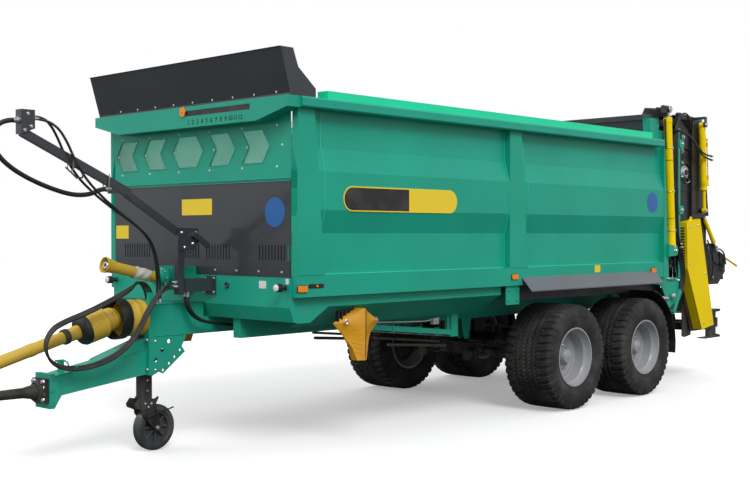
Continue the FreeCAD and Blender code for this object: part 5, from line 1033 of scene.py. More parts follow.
def hoses(look):
    """The sleeve and leads on the mast's boom, the loops beside the drawbar, and the hoses under the
    front."""
    sleeve = cord_line("boom_sleeve", route([(223, 6185, 2600), (223, 6290, 2600), (223, 6385, 2522),
        (223, 6390, 2400), (223, 6300, 2290), (223, 6150, 2200), (223, 5960, 2125), (223, 5750, 2070),
        (223, 5590, 2078), (223, 5500, 2125), (223, 5420, 2125)]), 0.036)
    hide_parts("hose_sleeve")
    far = cord_line("far_lead", route([(205, 6075, 2640), (205, 5985, 2640), (175, 5895, 2590),
        (160, 5820, 2480), (157, 5760, 2350), (157, 5660, 2210), (160, 5520, 2090), (158, 5350, 1975),
        (150, 5180, 1880), (138, 5030, 1780), (110, 4930, 1650), (85, 4885, 1500), (72, 4870, 1380),
        (70, 4868, 1290), (70, 4868, 1210)]), 0.02)
    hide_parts("hose_leads")
    cord_line("near_lead", route([(241, 6075, 2618), (241, 5985, 2618), (272, 5895, 2568), (289, 5825, 2458),
        (292, 5765, 2325), (290, 5665, 2185), (280, 5525, 2062), (262, 5355, 1945), (235, 5185, 1848),
        (200, 5035, 1745), (160, 4945, 1620), (130, 4895, 1480), (114, 4872, 1370), (112, 4868, 1285),
        (112, 4868, 1210)]), 0.02)
    for i, (start_x, spread) in enumerate(((207, 0), (238, 32), (223, 64))):
        rise = 34 if i == 2 else 0
        start = [(start_x, 4790, 1350 + rise), (start_x, 4880, 1350 + rise)]
        way = [(222, 4985, 1292), (228, 5080, 1180), (230, 5160, 1040), (222, 5270, 905), (198, 5430, 810),
            (172, 5610, 765), (152, 5780, 772), (150, 5905, 835), (150, 5950, 960), (150, 5890, 1075),
            (152, 5770, 1130), (160, 5580, 1190), (165, 5380, 1270), (150, 5185, 1352)]
        way = [(x + spread, y + 12 * i, z - 8 * i) for x, y, z in way]
        end_x = 80 - 42 * i
        end = [(end_x + 40 + 12 * i, 5065, 1402), (end_x + 8, 4965, 1362), (end_x, 4920, 1268),
            (end_x, 4920, 1210)]
        loop = cord_line("drawbar_loop_%d" % i, route(start + way + end), 0.02)
    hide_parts("hose_loops")
    for i in range(2):
        under = cord_line("under_hose_%d" % i, route([(200 + 44 * i, 4690, 1305), (200 + 44 * i, 4690, 1215),
            (214 + 38 * i, 4648, 1125), (222 + 36 * i, 4560, 1064), (222 + 36 * i, 4430, 1036),
            (222 + 36 * i, 4270, 1014), (222 + 36 * i, 4080, 980), (222 + 36 * i, 3880, 952),
            (222 + 36 * i, 3680, 948), (222 + 36 * i, 3520, 974), (222 + 36 * i, 3400, 1000),
            (222 + 36 * i, 3300, 1000)]), 0.024)
    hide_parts("hose_under")


# ---------------------------------------------------------------- chocks and under the body

def chocks(look):
    """Wheel chocks as folded wedges: a ridge stands out in the middle, and both flanks fall back from it,
    hollowed in by a sine of their width. Each hangs on a plate and two bolts."""
    place = TANDEM - 3.645
    heights = np.array([0.735, 0.8, 0.85, 0.9, 0.95, 1.0, 1.05, 1.09, 1.13, 1.165])
    fore = np.interp(heights, [0.735, 0.85, 0.95, 1.05, 1.165], [-0.055, -0.095, -0.165, -0.275, -0.02])
    aft = np.interp(heights, [0.735, 0.85, 0.95, 1.055, 1.165], [0.055, 0.1, 0.17, 0.275, 0.012])
    share = np.linspace(0, 1, 7)
    for side, hand in SIDES:
        rows = []
        for z, front, back in zip(heights, fore, aft):
            ridge = 1.262 - 0.014 * (1.17 - z)
            reach = np.clip(0.34 * (back - front), 0.02, 0.105)
            hollow = 0.01 * np.sin(np.pi * share)
            first = np.stack([ridge - reach * (1 - share) - hollow, place + front * (1 - share)], -1)
            second = np.stack([ridge - reach * share[1:] - hollow[1:], place + back * share[1:]], -1)
            rear = [(1.148, place + back), (1.148, place + front)]
            loop = np.vstack([first, second, rear])
            rows.append(np.column_stack([side * loop[:, 0], loop[:, 1], np.full(len(loop), z)]))
        rows = np.array(rows)
        wedge = Solid().add_grid(rows, wrap_v=True)
        count = rows.shape[1]
        last = wedge.count - count
        wedge.faces += [list(range(count)), list(range(last, last + count))[::-1]]
        for z in np.linspace(0.79, 1.03, 7):
            front = np.interp(z, heights, fore) * 0.86
            back = np.interp(z, heights, aft) * 0.86
            ridge = 1.262 - 0.014 * (1.17 - z)
            reach = np.clip(0.34 * (back - front) / 0.86, 0.02, 0.105)
            wedge.add_tube([(side * (ridge - reach * 0.86 - 0.004), place + front, z + 0.02),
                (side * (ridge - reach * 0.45 - 0.009), place + front * 0.5, z + 0.006),
                (side * (ridge - 0.004), place, z)], 0.004, 6)
            wedge.add_tube([(side * (ridge - 0.004), place, z), (side * (ridge - reach * 0.45 - 0.009),
                place + back * 0.5, z + 0.006), (side * (ridge - reach * 0.86 - 0.004), place + back,
                z + 0.02)], 0.004, 6)
        chock = build(wedge, "chock_" + hand, "machine", "chock", bevel=0.002)
        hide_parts("wheel_chocks")
        seam = Solid().add_tube([(side * (1.264 - 0.014 * (1.17 - z)), place, z) for z in (0.755, 0.95,
            1.155)], 0.003, 6)
        build(seam, "chock_seam_" + hand, "machine", "plastic", 50)
        rack = Solid()
        for i in range(5):
            y = place - 0.235 + i * 0.042
            rack.add_slab([(y, 1.062 + i * 0.018), (y + 0.018, 1.062 + i * 0.018),
                (y + 0.03, 1.15 + i * 0.004), (y + 0.012, 1.15 + i * 0.004)], side, 1.135, 1.168)
        rack.add_block((side * 1.15, place - 0.235, 1.062), (side * 1.16, place - 0.02, 1.075))
        rack.add_tube([(side * 1.15, place - 0.22, 1.14), (side * 1.165, place - 0.1, 1.16),
            (side * 1.19, place - 0.03, 1.2)], 0.006, 8)
        build(rack, "chock_rack_" + hand, "machine", "black", bevel=0.0015)
        rings = Solid()
        for y, z in ((-0.17, 1.06), (0.185, 1.062)):
            rings.add_turned([(0, 0.01), (0, 0.019), (0.006, 0.021), (0.009, 0.016), (0.006, 0.01)],
                (side * 1.205, place + y, z), (side, -0.5 if y < 0 else 0.5, 0), 18)
        build(rings, "chock_eyes_" + hand, "machine", "zinc", 40)


def under_body(look):
    """Spring bolts and clips, radius arms, brake cylinders and levers, and the hanging rail under the
    skirts."""
    spring = 0.47
    bolts, clips, arms, brakes = Solid(), Solid(), Solid(), Solid()
    for y in (-0.69, 0.69):
        for dx in (-0.066, 0.066):
            for dy in (-0.047, 0.047):
                bolts.add_tube([at(spring + dx, y + dy, 0.452), at(spring + dx, y + dy, 0.6),
                    at(spring + dx, y + dy, 0.7)], 0.01, 8)
                bolts.add_bolt(at(spring + dx, y + dy, 0.462), (0, 0, -1), 0.018, 0.014)
            bolts.add_tube([at(spring + dx, y - 0.047, 0.7), at(spring + dx, y, 0.706),
                at(spring + dx, y + 0.047, 0.7)], 0.01, 8)
        clips.add_box(at(spring - 0.085, y - 0.065, 0.462), at(spring + 0.085, y + 0.065, 0.474))
        shaft_y = y - 0.16
        arms.add_tube([at(0.3, shaft_y, 0.6), at(0.62, shaft_y, 0.6), at(0.93, shaft_y, 0.6)], 0.016, 12)
        arms.add_box(at(0.3, shaft_y - 0.012, 0.5), at(0.316, shaft_y + 0.012, 0.62))
        arms.add_box(at(0.8, shaft_y - 0.03, 0.54), at(0.812, y - 0.055, 0.63))
        brakes.add_turned([(0, 0.0), (0, 0.055), (0.012, 0.068), (0.055, 0.072), (0.06, 0.078),
            (0.075, 0.078), (0.08, 0.072), (0.12, 0.066), (0.135, 0.05), (0.135, 0.0)],
            at(0.308, shaft_y - 0.27, 0.512), (0, 1, 0), 28, False)
        brakes.add_tube([at(0.308, shaft_y - 0.14, 0.512), at(0.308, shaft_y - 0.07, 0.512),
            at(0.308, shaft_y, 0.512)], 0.009, 8)
    for dy in (-0.075, 0.075):
        for dx in (-0.058, 0.058):
            clips.add_tube([at(spring + dx, dy, 0.7), at(spring + dx, dy, 0.78), at(spring + dx, dy, 0.868)],
                0.01, 8)
    for y in (-0.4, 0.4, -0.28, 0.28):
        clips.add_box(at(spring - 0.056, y - 0.014, 0.6 + 0.2 * (0.42 - abs(y))),
            at(spring + 0.056, y + 0.014, 0.7 + 0.2 * (0.42 - abs(y))))
    arm_y = -0.69
    arms.add_tube([at(0.4, arm_y - 0.06, 0.56), at(0.4, arm_y - 0.5, 0.62), at(0.4, arm_y - 0.98, 0.7)],
        0.021, 12)
    arms.add_turned([(-0.03, 0.014), (-0.03, 0.036), (0.03, 0.036), (0.03, 0.014)],
        at(0.4, arm_y - 1.0, 0.703), (1, 0, 0), 20)
    for each, name, kind in ((bolts, "spring_bolts", "black"), (clips, "spring_clips", "black"),
            (arms, "axle_arms", "black"), (brakes, "brake_cylinders", "black")):
        each.add_mirror()
        build(each, name, "machine", kind, 35)
    pins = Solid()
    for side in (1, -1):
        pins.add_bolt((side * 0.556, TANDEM, 0.8), (side, 0, 0), 0.045, 0.03)
    build(pins, "hanger_pins", "machine", "zinc", 30)

    rail = Solid()
    for side in (1, -1):
        x = side * 0.88
        slope = from_tandem([(-3.25, 0.942), (-3.25, 0.992), (-2.0, 0.862), (-2.0, 0.812)])
        rail.add_prism(slope, "x", x - 0.018, x + 0.018)
        rail.add_block(at(x - 0.022, -2.1, 0.805), at(x + 0.022, -2.0, 1.03))
        rail.add_block(at(x - 0.022, -2.14, 0.86), at(x + 0.006, -2.105, 1.03))
        rail.add_block(at(x - 0.022, -3.2, 0.95), at(x + 0.022, -3.12, 1.06))
        for y in (-2.92, -2.55, -2.3):
            z = 0.837 + 0.104 * (-2.0 - y)
            rail.add_block(at(x - 0.024, y, z - 0.034), at(x + 0.024, y + 0.016, z + 0.036))
    build(rail, "hanging_rails", "machine", "green", bevel=0.002)
    rods = Solid()
    rods.add_tube([at(0.5, -2.55, 0.735), at(0.5, -2.1, 0.7), at(0.5, -1.7, 0.665)], 0.016, 12)
    rods.add_tube([at(0.42, -2.65, 0.8), at(0.42, -2.2, 0.755), at(0.42, -1.7, 0.7)], 0.013, 12)
    rods.add_mirror()
    build(rods, "brake_rods", "machine", "worn", 50)
    hangers = Solid()
    for x in (0.352, 0.436):
        foot = np.vstack([arc((TANDEM - 1.3, 0.745), 0.045, 180, 360, 12),
            from_tandem([(-1.22, 0.925), (-1.38, 0.925)])])
        hangers.add_prism(foot, "x", x, x + 0.012)
    hangers.add_mirror()
    build(hangers, "rod_hangers", "machine", "green", bevel=0.002)
    lines = Solid()
    for side in (1, -1):
        x = side * 0.915
        lines.add_tube([at(x, -3.3, 1.01), at(x, -2.9, 0.99), at(x, -2.5, 0.975), at(x, -2.3, 0.995)], 0.008,
            8)
        lines.add_tube([at(side * 0.86, -3.2, 0.925), at(side * 0.86, -2.6, 0.862),
            at(side * 0.86, -2.1, 0.81)], 0.005, 8)
        lines.add_block(at(side * 0.895, -2.4, 0.94), at(side * 0.935, -2.32, 1.0))
    build(lines, "rail_lines", "machine", "zinc", bevel=0.001)
    pipes = Solid()
    for side in (1, -1):
        for i, x in enumerate((0.375, 0.395)):
            z = 0.945 + 0.02 * i
            pipes.add_tube([at(side * x, -4.3, z), at(side * x, -2.0, z), at(side * x, 0.0, z),
                at(side * x, 1.3, z)], 0.007, 8)
    build(pipes, "chassis_pipes", "machine", "black", 50)
    liners, lamps = Solid(), Solid()
    for side in (1, -1):
        liners.add_block(at(side * 1.1, -1.36, 1.12), at(side * 1.108, 1.48, 1.283))
        lamps.add_turned([(0, 0.0), (0, 0.024), (0.004, 0.027), (0.14, 0.027), (0.146, 0.024), (0.146, 0.0)],
            at(side * 1.3, 1.145, 1.046), (0, 1, -0.05), 28, False)
        lamps.add_tube([at(side * 1.3, 1.22, 1.04), at(side * 1.25, 1.24, 1.04), at(side * 1.18, 1.3, 1.04)],
            0.008, 8)
    build(liners, "arch_liners", "machine", "plastic", bevel=0.001)
    build(lamps, "marker_tubes", "machine", "zinc", 40)
    guards = Solid()
    for side in (1, -1):
        arch = [at(side * 1.3925, 0.69 + 0.6285 * math.cos(a),
            0.535 + 0.6285 * math.sin(a)) for a in np.radians(np.linspace(77.5, -9.5, 28))]
        arch = [(side * (abs(p[0]) - 0.006), p[1], p[2]) for p in arch]
        guards.add_tube(arch, 0.0055, 8)
        for a in np.radians((60, 30, 0)):
            guards.add_bolt((side * 1.3, TANDEM + 0.69 + 0.632 * math.cos(a), 0.535 + 0.632 * math.sin(a)),
                (0, math.cos(a), math.sin(a)), 0.01, 0.005)
    build(guards, "mudguard_edges", "machine", "plastic", 50)


# ---------------------------------------------------------------- rear: gate, cylinders, unit

def leaned(x, y, z):
    """A point stated on the gate's own leaning axes, from the foot of the gate."""
    c, s = math.cos(GATE_LEAN), math.sin(GATE_LEAN)
    return at(x, 1.38 + y * c - z * s, 1.31 + y * s + z * c)


GATE_UP = np.array([0, -math.sin(GATE_LEAN), math.cos(GATE_LEAN)])
CYLINDER = (1.262, 0.1)


def gate_fittings(look):
    """Gate cylinders with their glands, rings, ports and pipes; eyes, lugs and keeper of the gate."""
    x, y = CYLINDER
    for side, hand in SIDES:
        barrel = Solid()
        profile = [(0.3, 0.03), (0.3, 0.0465), (0.318, 0.0485), (0.335, 0.0485), (0.338, 0.0465),
            (0.62, 0.0465)]
        for z in (0.63, 1.32):
            profile += [(z - 0.006, 0.0465), (z - 0.005, 0.0485), (z + 0.005, 0.0485), (z + 0.006, 0.0465)]
        profile += [(1.735, 0.0465), (1.738, 0.05), (1.79, 0.05), (1.802, 0.046), (1.802, 0.0285),
            (1.74, 0.0285)]
        barrel.add_turned(profile, leaned(side * x, y, 0), GATE_UP, 40, False)
        for z in (0.37, 1.7):
            barrel.add_turned([(0.04, 0.0), (0.04, 0.019), (0.066, 0.019), (0.068, 0.014), (0.068, 0.0)],
                leaned(side * x, y, z), (0, 1, 0), 16, False)
        build(barrel, "gate_cylinder_" + hand, "machine", "yellow", 35)
        marks = Solid()
        for z in (0.64, 1.305):
            marks.add_turned([(z, 0.0467), (z, 0.0472), (z + 0.006, 0.0472), (z + 0.006, 0.0467)],
                leaned(side * x, y, 0), GATE_UP, 40)
        build(marks, "cylinder_marks_" + hand, "machine", "plastic", 40)
        pipe = Solid()
        pipe.add_tube([leaned(side * x, y + 0.066, 1.7), leaned(side * x, y + 0.078, 1.68),
            leaned(side * x, y + 0.08, 1.6), leaned(side * x, y + 0.08, 1.0),
            leaned(side * x, y + 0.08, 0.42), leaned(side * (x - 0.01), y + 0.086, 0.2),
            leaned(side * (x - 0.03), y + 0.1, 0.0)], 0.01, 10)
        pipe.add_tube([leaned(side * x, y + 0.066, 0.37), leaned(side * (x - 0.02), y + 0.09, 0.34),
            leaned(side * (x - 0.035), y + 0.1, 0.2), leaned(side * (x - 0.05), y + 0.115, 0.0)], 0.01, 10)
        pipe.add_tube([leaned(side * x, y - 0.06, 1.78), leaned(side * x, y - 0.062, 1.62),
            leaned(side * x, y - 0.062, 1.45)], 0.01, 10)
        build(pipe, "cylinder_pipes_" + hand, "machine", "rubber", 50)
        lines = Solid()
        route = [(1.25, 1.598, 2.95), (1.25, 1.596, 2.7), (1.25, 1.6, 2.4), (1.25, 1.612, 2.04),
            (1.246, 1.64, 1.72), (1.226, 1.78, 1.55), (1.214, 1.85, 1.4), (1.214, 1.858, 1.26),
            (1.206, 1.815, 1.08), (1.2, 1.7, 0.95), (1.18, 1.5, 0.885), (1.1, 1.36, 0.86)]
        for shift in (0.0, 0.028, 0.056):
            lines.add_tube(smooth_line([at(side * (a - 0.25 * shift), b - shift,
                c - 0.4 * shift) for a, b, c in route]), 0.012, 10)
        build(lines, "rear_pipes_" + hand, "machine", "rubber", 50)
        clips = Solid()
        for z in (1.45, 0.95, 0.5):
            ring = [leaned(side * x + 0.05 * math.cos(a), y + 0.05 * math.sin(a),
                z) for a in np.radians(np.linspace(-180, 180, 25))]
            clips.add_tube(ring, 0.003, 6, ends=False)
            clips.add_box(leaned(side * x - 0.013, y + 0.047, z - 0.012),
                leaned(side * x + 0.013, y + 0.094, z + 0.012))
        clips.add_bolt(leaned(side * (x + 0.046), y, 0.27), (side, 0, 0), 0.024, 0.016)
        build(clips, "cylinder_clips_" + hand, "machine", "zinc", 40)
        lug = Solid()
        base = leaned(0, y, 0.27)
        outline = np.vstack([arc((base[1], base[2]), 0.068, -60, 120, 14),
            [(base[1] - 0.145, base[2] + 0.078), (base[1] - 0.145, base[2] - 0.07)]])
        lug.add_slab(outline, side, x + 0.034, x + 0.046)
        lug.add_slab(outline, side, x - 0.046, x - 0.034)
        lug.add_block((side * (x - 0.046), base[1] - 0.15, base[2] - 0.07),
            (side * (x + 0.046), base[1] - 0.138, base[2] + 0.078))
        build(lug, "cylinder_lug_" + hand, "machine", "green", bevel=0.002)
        top = leaned(0, y, 1.89)
        eye = Solid()
        eye.add_turned([(-0.002, 0.0), (-0.002, 0.0395), (0.012, 0.0395), (0.015, 0.036), (0.015, 0.026),
            (0.01, 0.022), (0.022, 0.019), (0.022, 0.0)], (side * (x + 0.03), top[1], top[2]), (side, 0, 0),
            32, False)
        build(eye, "gate_pin_" + hand, "gate", "zinc", 35)
        collar = Solid().add_turned([(-0.004, 0.024), (-0.004, 0.0395), (0.006, 0.0395), (0.009, 0.036),
            (0.009, 0.024)], (side * (x + 0.03), top[1], top[2]), (side, 0, 0), 36)
        build(collar, "gate_pin_collar_" + hand, "gate", "black", 35)
        ring = Solid().add_turned([(-0.014, 0.02), (-0.014, 0.0395), (0.014, 0.0395), (0.014, 0.02)],
            (side * x, top[1], top[2]), (side, 0, 0), 36)
        build(ring, "gate_rod_eye_" + hand, "gate", "yellow", 35)
        ear = Solid()
        outline = np.vstack([arc((top[1], top[2]), 0.0395, -100, 60, 12),
            [(top[1] - 0.16, top[2] + 0.036), (top[1] - 0.2, top[2] + 0.02), (top[1] - 0.2, top[2] - 0.055)]])
        ear.add_slab(outline, side, x + 0.0245, x + 0.03)
        build(ear, "gate_ear_" + hand, "gate", "black", bevel=0.0015)
        keeper, studs = Solid(), Solid()
        keeper.add_slab(from_tandem([(1.735, 3.02), (1.775, 3.02), (1.79, 1.24), (1.745, 1.24)]), side, 1.186,
            1.196)
        keeper.add_block(at(side * 1.1, 1.5, 1.24), at(side * 1.196, 1.79, 1.255))
        for z in (2.79, 2.01):
            keeper.add_slab(round_box((TANDEM + 1.74, z), (TANDEM + 1.85, z + 0.1), 0.025), side, 1.196,
                1.206)
            studs.add_bolt(at(side * 1.206, 1.812, z + 0.05), (side, 0, 0), 0.022)
        build(keeper, "keeper_strip_" + hand, "machine", "green", bevel=0.002)
        build(studs, "keeper_studs_" + hand, "machine", "zinc", 30)
        wear = Solid()
        for z in np.linspace(0.1, 1.7, 9):
            wear.add_bolt(leaned(side * 1.205, -0.03, z), (side, 0, 0), 0.01, 0.005)
        build(wear, "post_bolts_" + hand, "machine", "zinc", 30)
    ribs = Solid()
    for x0 in np.linspace(-1.05, 1.05, 8):
        for z0, z1 in ((0.115, 0.475), (0.535, 0.892), (0.952, 1.308), (1.368, 1.725)):
            outline = np.array([leaned(0, 0.006, z0)[1:], leaned(0, 0.034, z0)[1:], leaned(0, 0.034, z1)[1:],
                leaned(0, 0.006, z1)[1:]])
            ribs.add_prism(outline, "x", x0 - 0.004, x0 + 0.004)
    build(ribs, "gate_ribs", "gate", "dark", bevel=0.001)


def unit_fittings(look):
    """Bearings, bolts, edge folds and clamps of the spreading unit, and the bolts and lips of its chain
    guards."""
    side_face = 1.13
    for side, hand in SIDES:
        hubs = Solid()
        for y, z in ((1.984, 2.51), (2.08, 1.7)):
            hubs.add_turned([(0.0, 0.036), (0.0, 0.088), (0.01, 0.088), (0.014, 0.07), (0.03, 0.062),
                (0.034, 0.048), (0.034, 0.036)], (side * side_face, TANDEM + y, z), (side, 0, 0), 36)
            for a in np.radians((45, 135, 225, 315)):
                hubs.add_bolt((side * (side_face + 0.01), TANDEM + y + 0.073 * math.cos(a),
                    z + 0.073 * math.sin(a)), (side, 0, 0), 0.014)
        build(hubs, "unit_bearings_" + hand, "machine", "zinc", 35)
        trim = Solid()
        for y0, y1, z in ((1.8, 2.36, 3.135), (1.82, 2.12, 2.3)):
            trim.add_block(at(side * side_face, y0, z - 0.006), at(side * (side_face + 0.022), y1, z))
        for z in np.linspace(2.02, 3.08, 8):
            trim.add_bolt(at(side * (side_face + 0.03), 2.155, z), (side, 0, 0), 0.012)
        trim.add_slab(from_tandem([(1.8, 3.15), (1.8, 2.22), (1.815, 2.22), (1.815, 3.15)]), side, side_face,
            side_face + 0.02)
        for z in (2.42, 2.6, 2.78):
            trim.add_tube([at(side * (side_face + 0.018), 1.94, z), at(side * (side_face + 0.022), 2.02,
                z + 0.02), at(side * (side_face + 0.018), 2.1, z)], 0.01, 8)
        build(trim, "unit_trim_" + hand, "machine", "black", 30)
        box_face = 1.245
        guard = Solid()
        for y, z in ((1.905, 1.86), (2.12, 1.88), (1.93, 1.42), (2.27, 0.7), (2.46, 0.72), (2.33, 1.3)):
            guard.add_bolt(at(side * box_face, y, z), (side, 0, 0), 0.013)
        build(guard, "guard_bolts_" + hand, "machine", "zinc", 30)
        lips = Solid()
        corners = [(1.851, 1.914), (1.876, 1.367), (2.236, 0.628), (2.535, 0.668), (2.181, 1.955)]
        for (y0, z0), (y1, z1) in zip(corners, corners[1:] + corners[:1]):
            lips.add_tube([at(side * (box_face - 0.003), y0, z0), at(side * (box_face - 0.003), (y0 + y1) / 2,
                (z0 + z1) / 2), at(side * (box_face - 0.003), y1, z1)], 0.0045, 8)
        lips.add_slab(from_tandem([(1.93, 1.925), (2.02, 1.932), (2.02, 1.975), (1.99, 1.985)]), side,
            box_face - 0.03, box_face - 0.022)
        build(lips, "guard_lips_" + hand, "machine", "yellow", 40)
        slots = Solid()
        for z in np.linspace(1.44, 1.84, 13):
            slots.add_block(at(side * 1.165, 1.849, z), at(side * 1.215, 1.873, z + 0.014))
        build(slots, "guard_slots_" + hand, "machine", "plastic")
        plates = Solid()
        plates.add_slab(from_tandem([(1.985, 0.93), (1.985, 0.55), (2.05, 0.535), (2.2, 0.555), (2.2, 0.62),
            (2.06, 0.93)]), side, 1.105, 1.117)
        plates.add_slab(from_tandem([(2.55, 0.83), (2.99, 0.83), (2.96, 0.8), (2.86, 0.8), (2.86, 0.53),
            (2.97, 0.51), (2.99, 0.48), (2.6, 0.5), (2.6, 0.6)]), side, 1.1, 1.114)
        plates.add_block(at(side * 1.0, 2.58, 0.48), at(side * 1.114, 2.98, 0.492))
        plates.add_block(at(side * 1.0, 2.58, 0.822), at(side * 1.114, 2.99, 0.834))
        build(plates, "carrier_plates_" + hand, "machine", "black", bevel=0.002)
        lines, ends = Solid(), Solid()
        for shift in (0.0, 0.03):
            over = [(1.19, 1.66, 2.98 - shift), (1.192, 1.735, 3.12 - shift), (1.192, 1.84, 3.205 - shift),
                (1.185, 1.96, 3.205 - shift), (1.175, 2.055, 3.15 - shift), (1.15, 2.09, 3.07 - shift)]
            lines.add_tube(smooth_line([at(side * a, b, c) for a, b, c in over]), 0.01, 10)
            drop = [(1.215, 1.6 + shift, 2.985 + 0.4 * shift), (1.262, 1.78, 2.965 + 0.3 * shift),
                (1.266, 1.95, 2.885 + 0.6 * shift), (1.268, 2.09, 2.785 + shift), (1.27, 2.205, 2.7 + shift),
                (1.27, 2.4, 2.675 + 1.5 * shift)]
            lines.add_tube(smooth_line([at(side * a, b, c) for a, b, c in drop]), 0.0105, 10)
            ends.add_turned([(0.0, 0.0105), (0.0, 0.016), (0.022, 0.016), (0.024, 0.011), (0.05, 0.011),
                (0.052, 0.0)], at(side * 1.27, 2.398, 2.675 + 1.5 * shift), (0, 1, 0), 6, False)
        build(lines, "unit_hoses_" + hand, "machine", "rubber", 50)
        build(ends, "unit_hose_ends_" + hand, "machine", "zinc", 35)
        drive = Solid()
        for y, z, r in ((1.935, 2.77, 0.04), (1.935, 2.62, 0.026), (1.96, 2.93, 0.032)):
            drive.add_turned([(0, 0.0), (0, r), (0.01, r), (0.012, r * 0.6), (0.022, r * 0.5), (0.022, 0.0)],
                at(side * side_face, y, z), (side, 0, 0), 28, False)
        drive.add_tube([at(side * (side_face + 0.014), 2.0, 2.4), at(side * (side_face + 0.018), 2.04, 2.385),
            at(side * (side_face + 0.016), 2.1, 2.41)], 0.009, 8)
        build(drive, "chain_tensioner_" + hand, "machine", "zinc", 35)
        links = Solid()
        for i in range(30):
            z = 2.56 + i * 0.0145
            for y in (1.905, 1.962):
                links.add_block(at(side * (side_face + 0.004), y - 0.006, z),
                    at(side * (side_face + 0.013), y + 0.006, z + 0.01))
        build(links, "drive_chain_" + hand, "machine", "worn")
        eyes = Solid()
        eyes.add_turned([(0, 0.0), (0, 0.036), (0.02, 0.036), (0.024, 0.03), (0.024, 0.0)],
            at(side * 1.2, 1.6, 1.05), (side, -0.2, 0), 20, False)
        for y, z in ((1.68, 1.66), (1.7, 1.62)):
            eyes.add_tube([at(side * 1.215, y, z), at(side * 1.235, y + 0.02, z),
                at(side * 1.25, y + 0.05, z)], 0.012, 10)
        build(eyes, "rear_couplers_" + hand, "machine", "zinc", 35)
        brace = Solid()
        brace.add_slab(from_tandem([(1.6, 0.87), (1.64, 0.85), (1.79, 1.1), (1.75, 1.13)]), side, 1.1805,
            1.215)
        build(brace, "foot_braces_" + hand, "machine", "green", bevel=0.003)


def ram_fittings(look):
    """Glands, ports, pipes and setting rods of the two hood rams."""
    top, foot = np.array([0, TANDEM + 2.295, 3.09]), np.array([0, TANDEM + 2.365, 2.06])
    down = unit(foot - top)
    for side, hand in SIDES:
        x = side * 1.205
        start = top + (x, 0, 0)
        tube = Solid()
        tube.add_turned([(0.05, 0.0), (0.05, 0.03), (0.06, 0.0395), (0.66, 0.0395), (0.662, 0.042),
            (0.715, 0.042), (0.72, 0.0395), (0.762, 0.0395), (0.764, 0.043), (0.782, 0.043), (0.784, 0.0225)],
            start, down, 36, False)
        tube.add_turned([(0.034, 0.0), (0.034, 0.016), (0.062, 0.016), (0.062, 0.0)], start + down * 0.74,
            (0, 1, 0), 14, False)
        tube.add_turned([(0.034, 0.0), (0.034, 0.016), (0.062, 0.016), (0.062, 0.0)], start + down * 0.12,
            (0, 1, 0), 14, False)
        for s in (0.16, 0.72):
            tube.add_block(start + down * s + (-0.014, 0.034, -0.009), start + down * s + (0.014, 0.122,
                0.009))
        build(tube, "hood_ram_" + hand, "ram_barrels", "yellow", 35)
        rod = Solid().add_tube([start + down * 0.15 + (0, 0.115, 0), start + down * 0.44 + (0, 0.115, 0),
            start + down * 0.73 + (0, 0.115, 0)], 0.007, 8)
        rod.add_turned([(0, 0.0), (0, 0.014), (0.05, 0.014), (0.05, 0.0)], start + down * 0.2 + (0, 0.115, 0),
            down, 6, False)
        rod.add_turned([(0, 0.0), (0, 0.014), (0.05, 0.014), (0.05, 0.0)], start + down * 0.6 + (0, 0.115, 0),
            down, 6, False)
        build(rod, "ram_setting_rod_" + hand, "ram_barrels", "yellow", 35)
        pipe = Solid()
        pipe.add_tube(smooth_line([start + down * 0.12 + (0, 0.06, 0), start + down * 0.13 + (-side * 0.02,
            0.09, 0), start + down * 0.22 + (-side * 0.035, 0.075, 0), start + down * 0.36 + (-side * 0.04,
            0.055, 0)]), 0.008, 8)
        pipe.add_tube(smooth_line([start + down * 0.74 + (0, 0.06, 0), start + down * 0.735 + (-side * 0.02,
            0.09, 0), start + down * 0.66 + (-side * 0.035, 0.07, 0), start + down * 0.5 + (-side * 0.04,
            0.055, 0)]), 0.008, 8)
        build(pipe, "ram_pipes_" + hand, "ram_barrels", "rubber", 50)
        ends = Solid().add_turned([(0.018, 0.0), (0.018, 0.03), (0.028, 0.03), (0.032, 0.024), (0.036, 0.0)],
            (x, foot[1], foot[2]), (side, 0, 0), 24, False)
        build(ends, "ram_foot_cap_" + hand, "ram_rods", "zinc", 35)
        cap = Solid().add_turned([(0.053, 0.0), (0.053, 0.028), (0.062, 0.028), (0.066, 0.022), (0.066, 0.0)],
            (x, top[1], top[2]), (side, 0, 0), 24, False)
        build(cap, "ram_top_cap_" + hand, "hood", "zinc", 35)


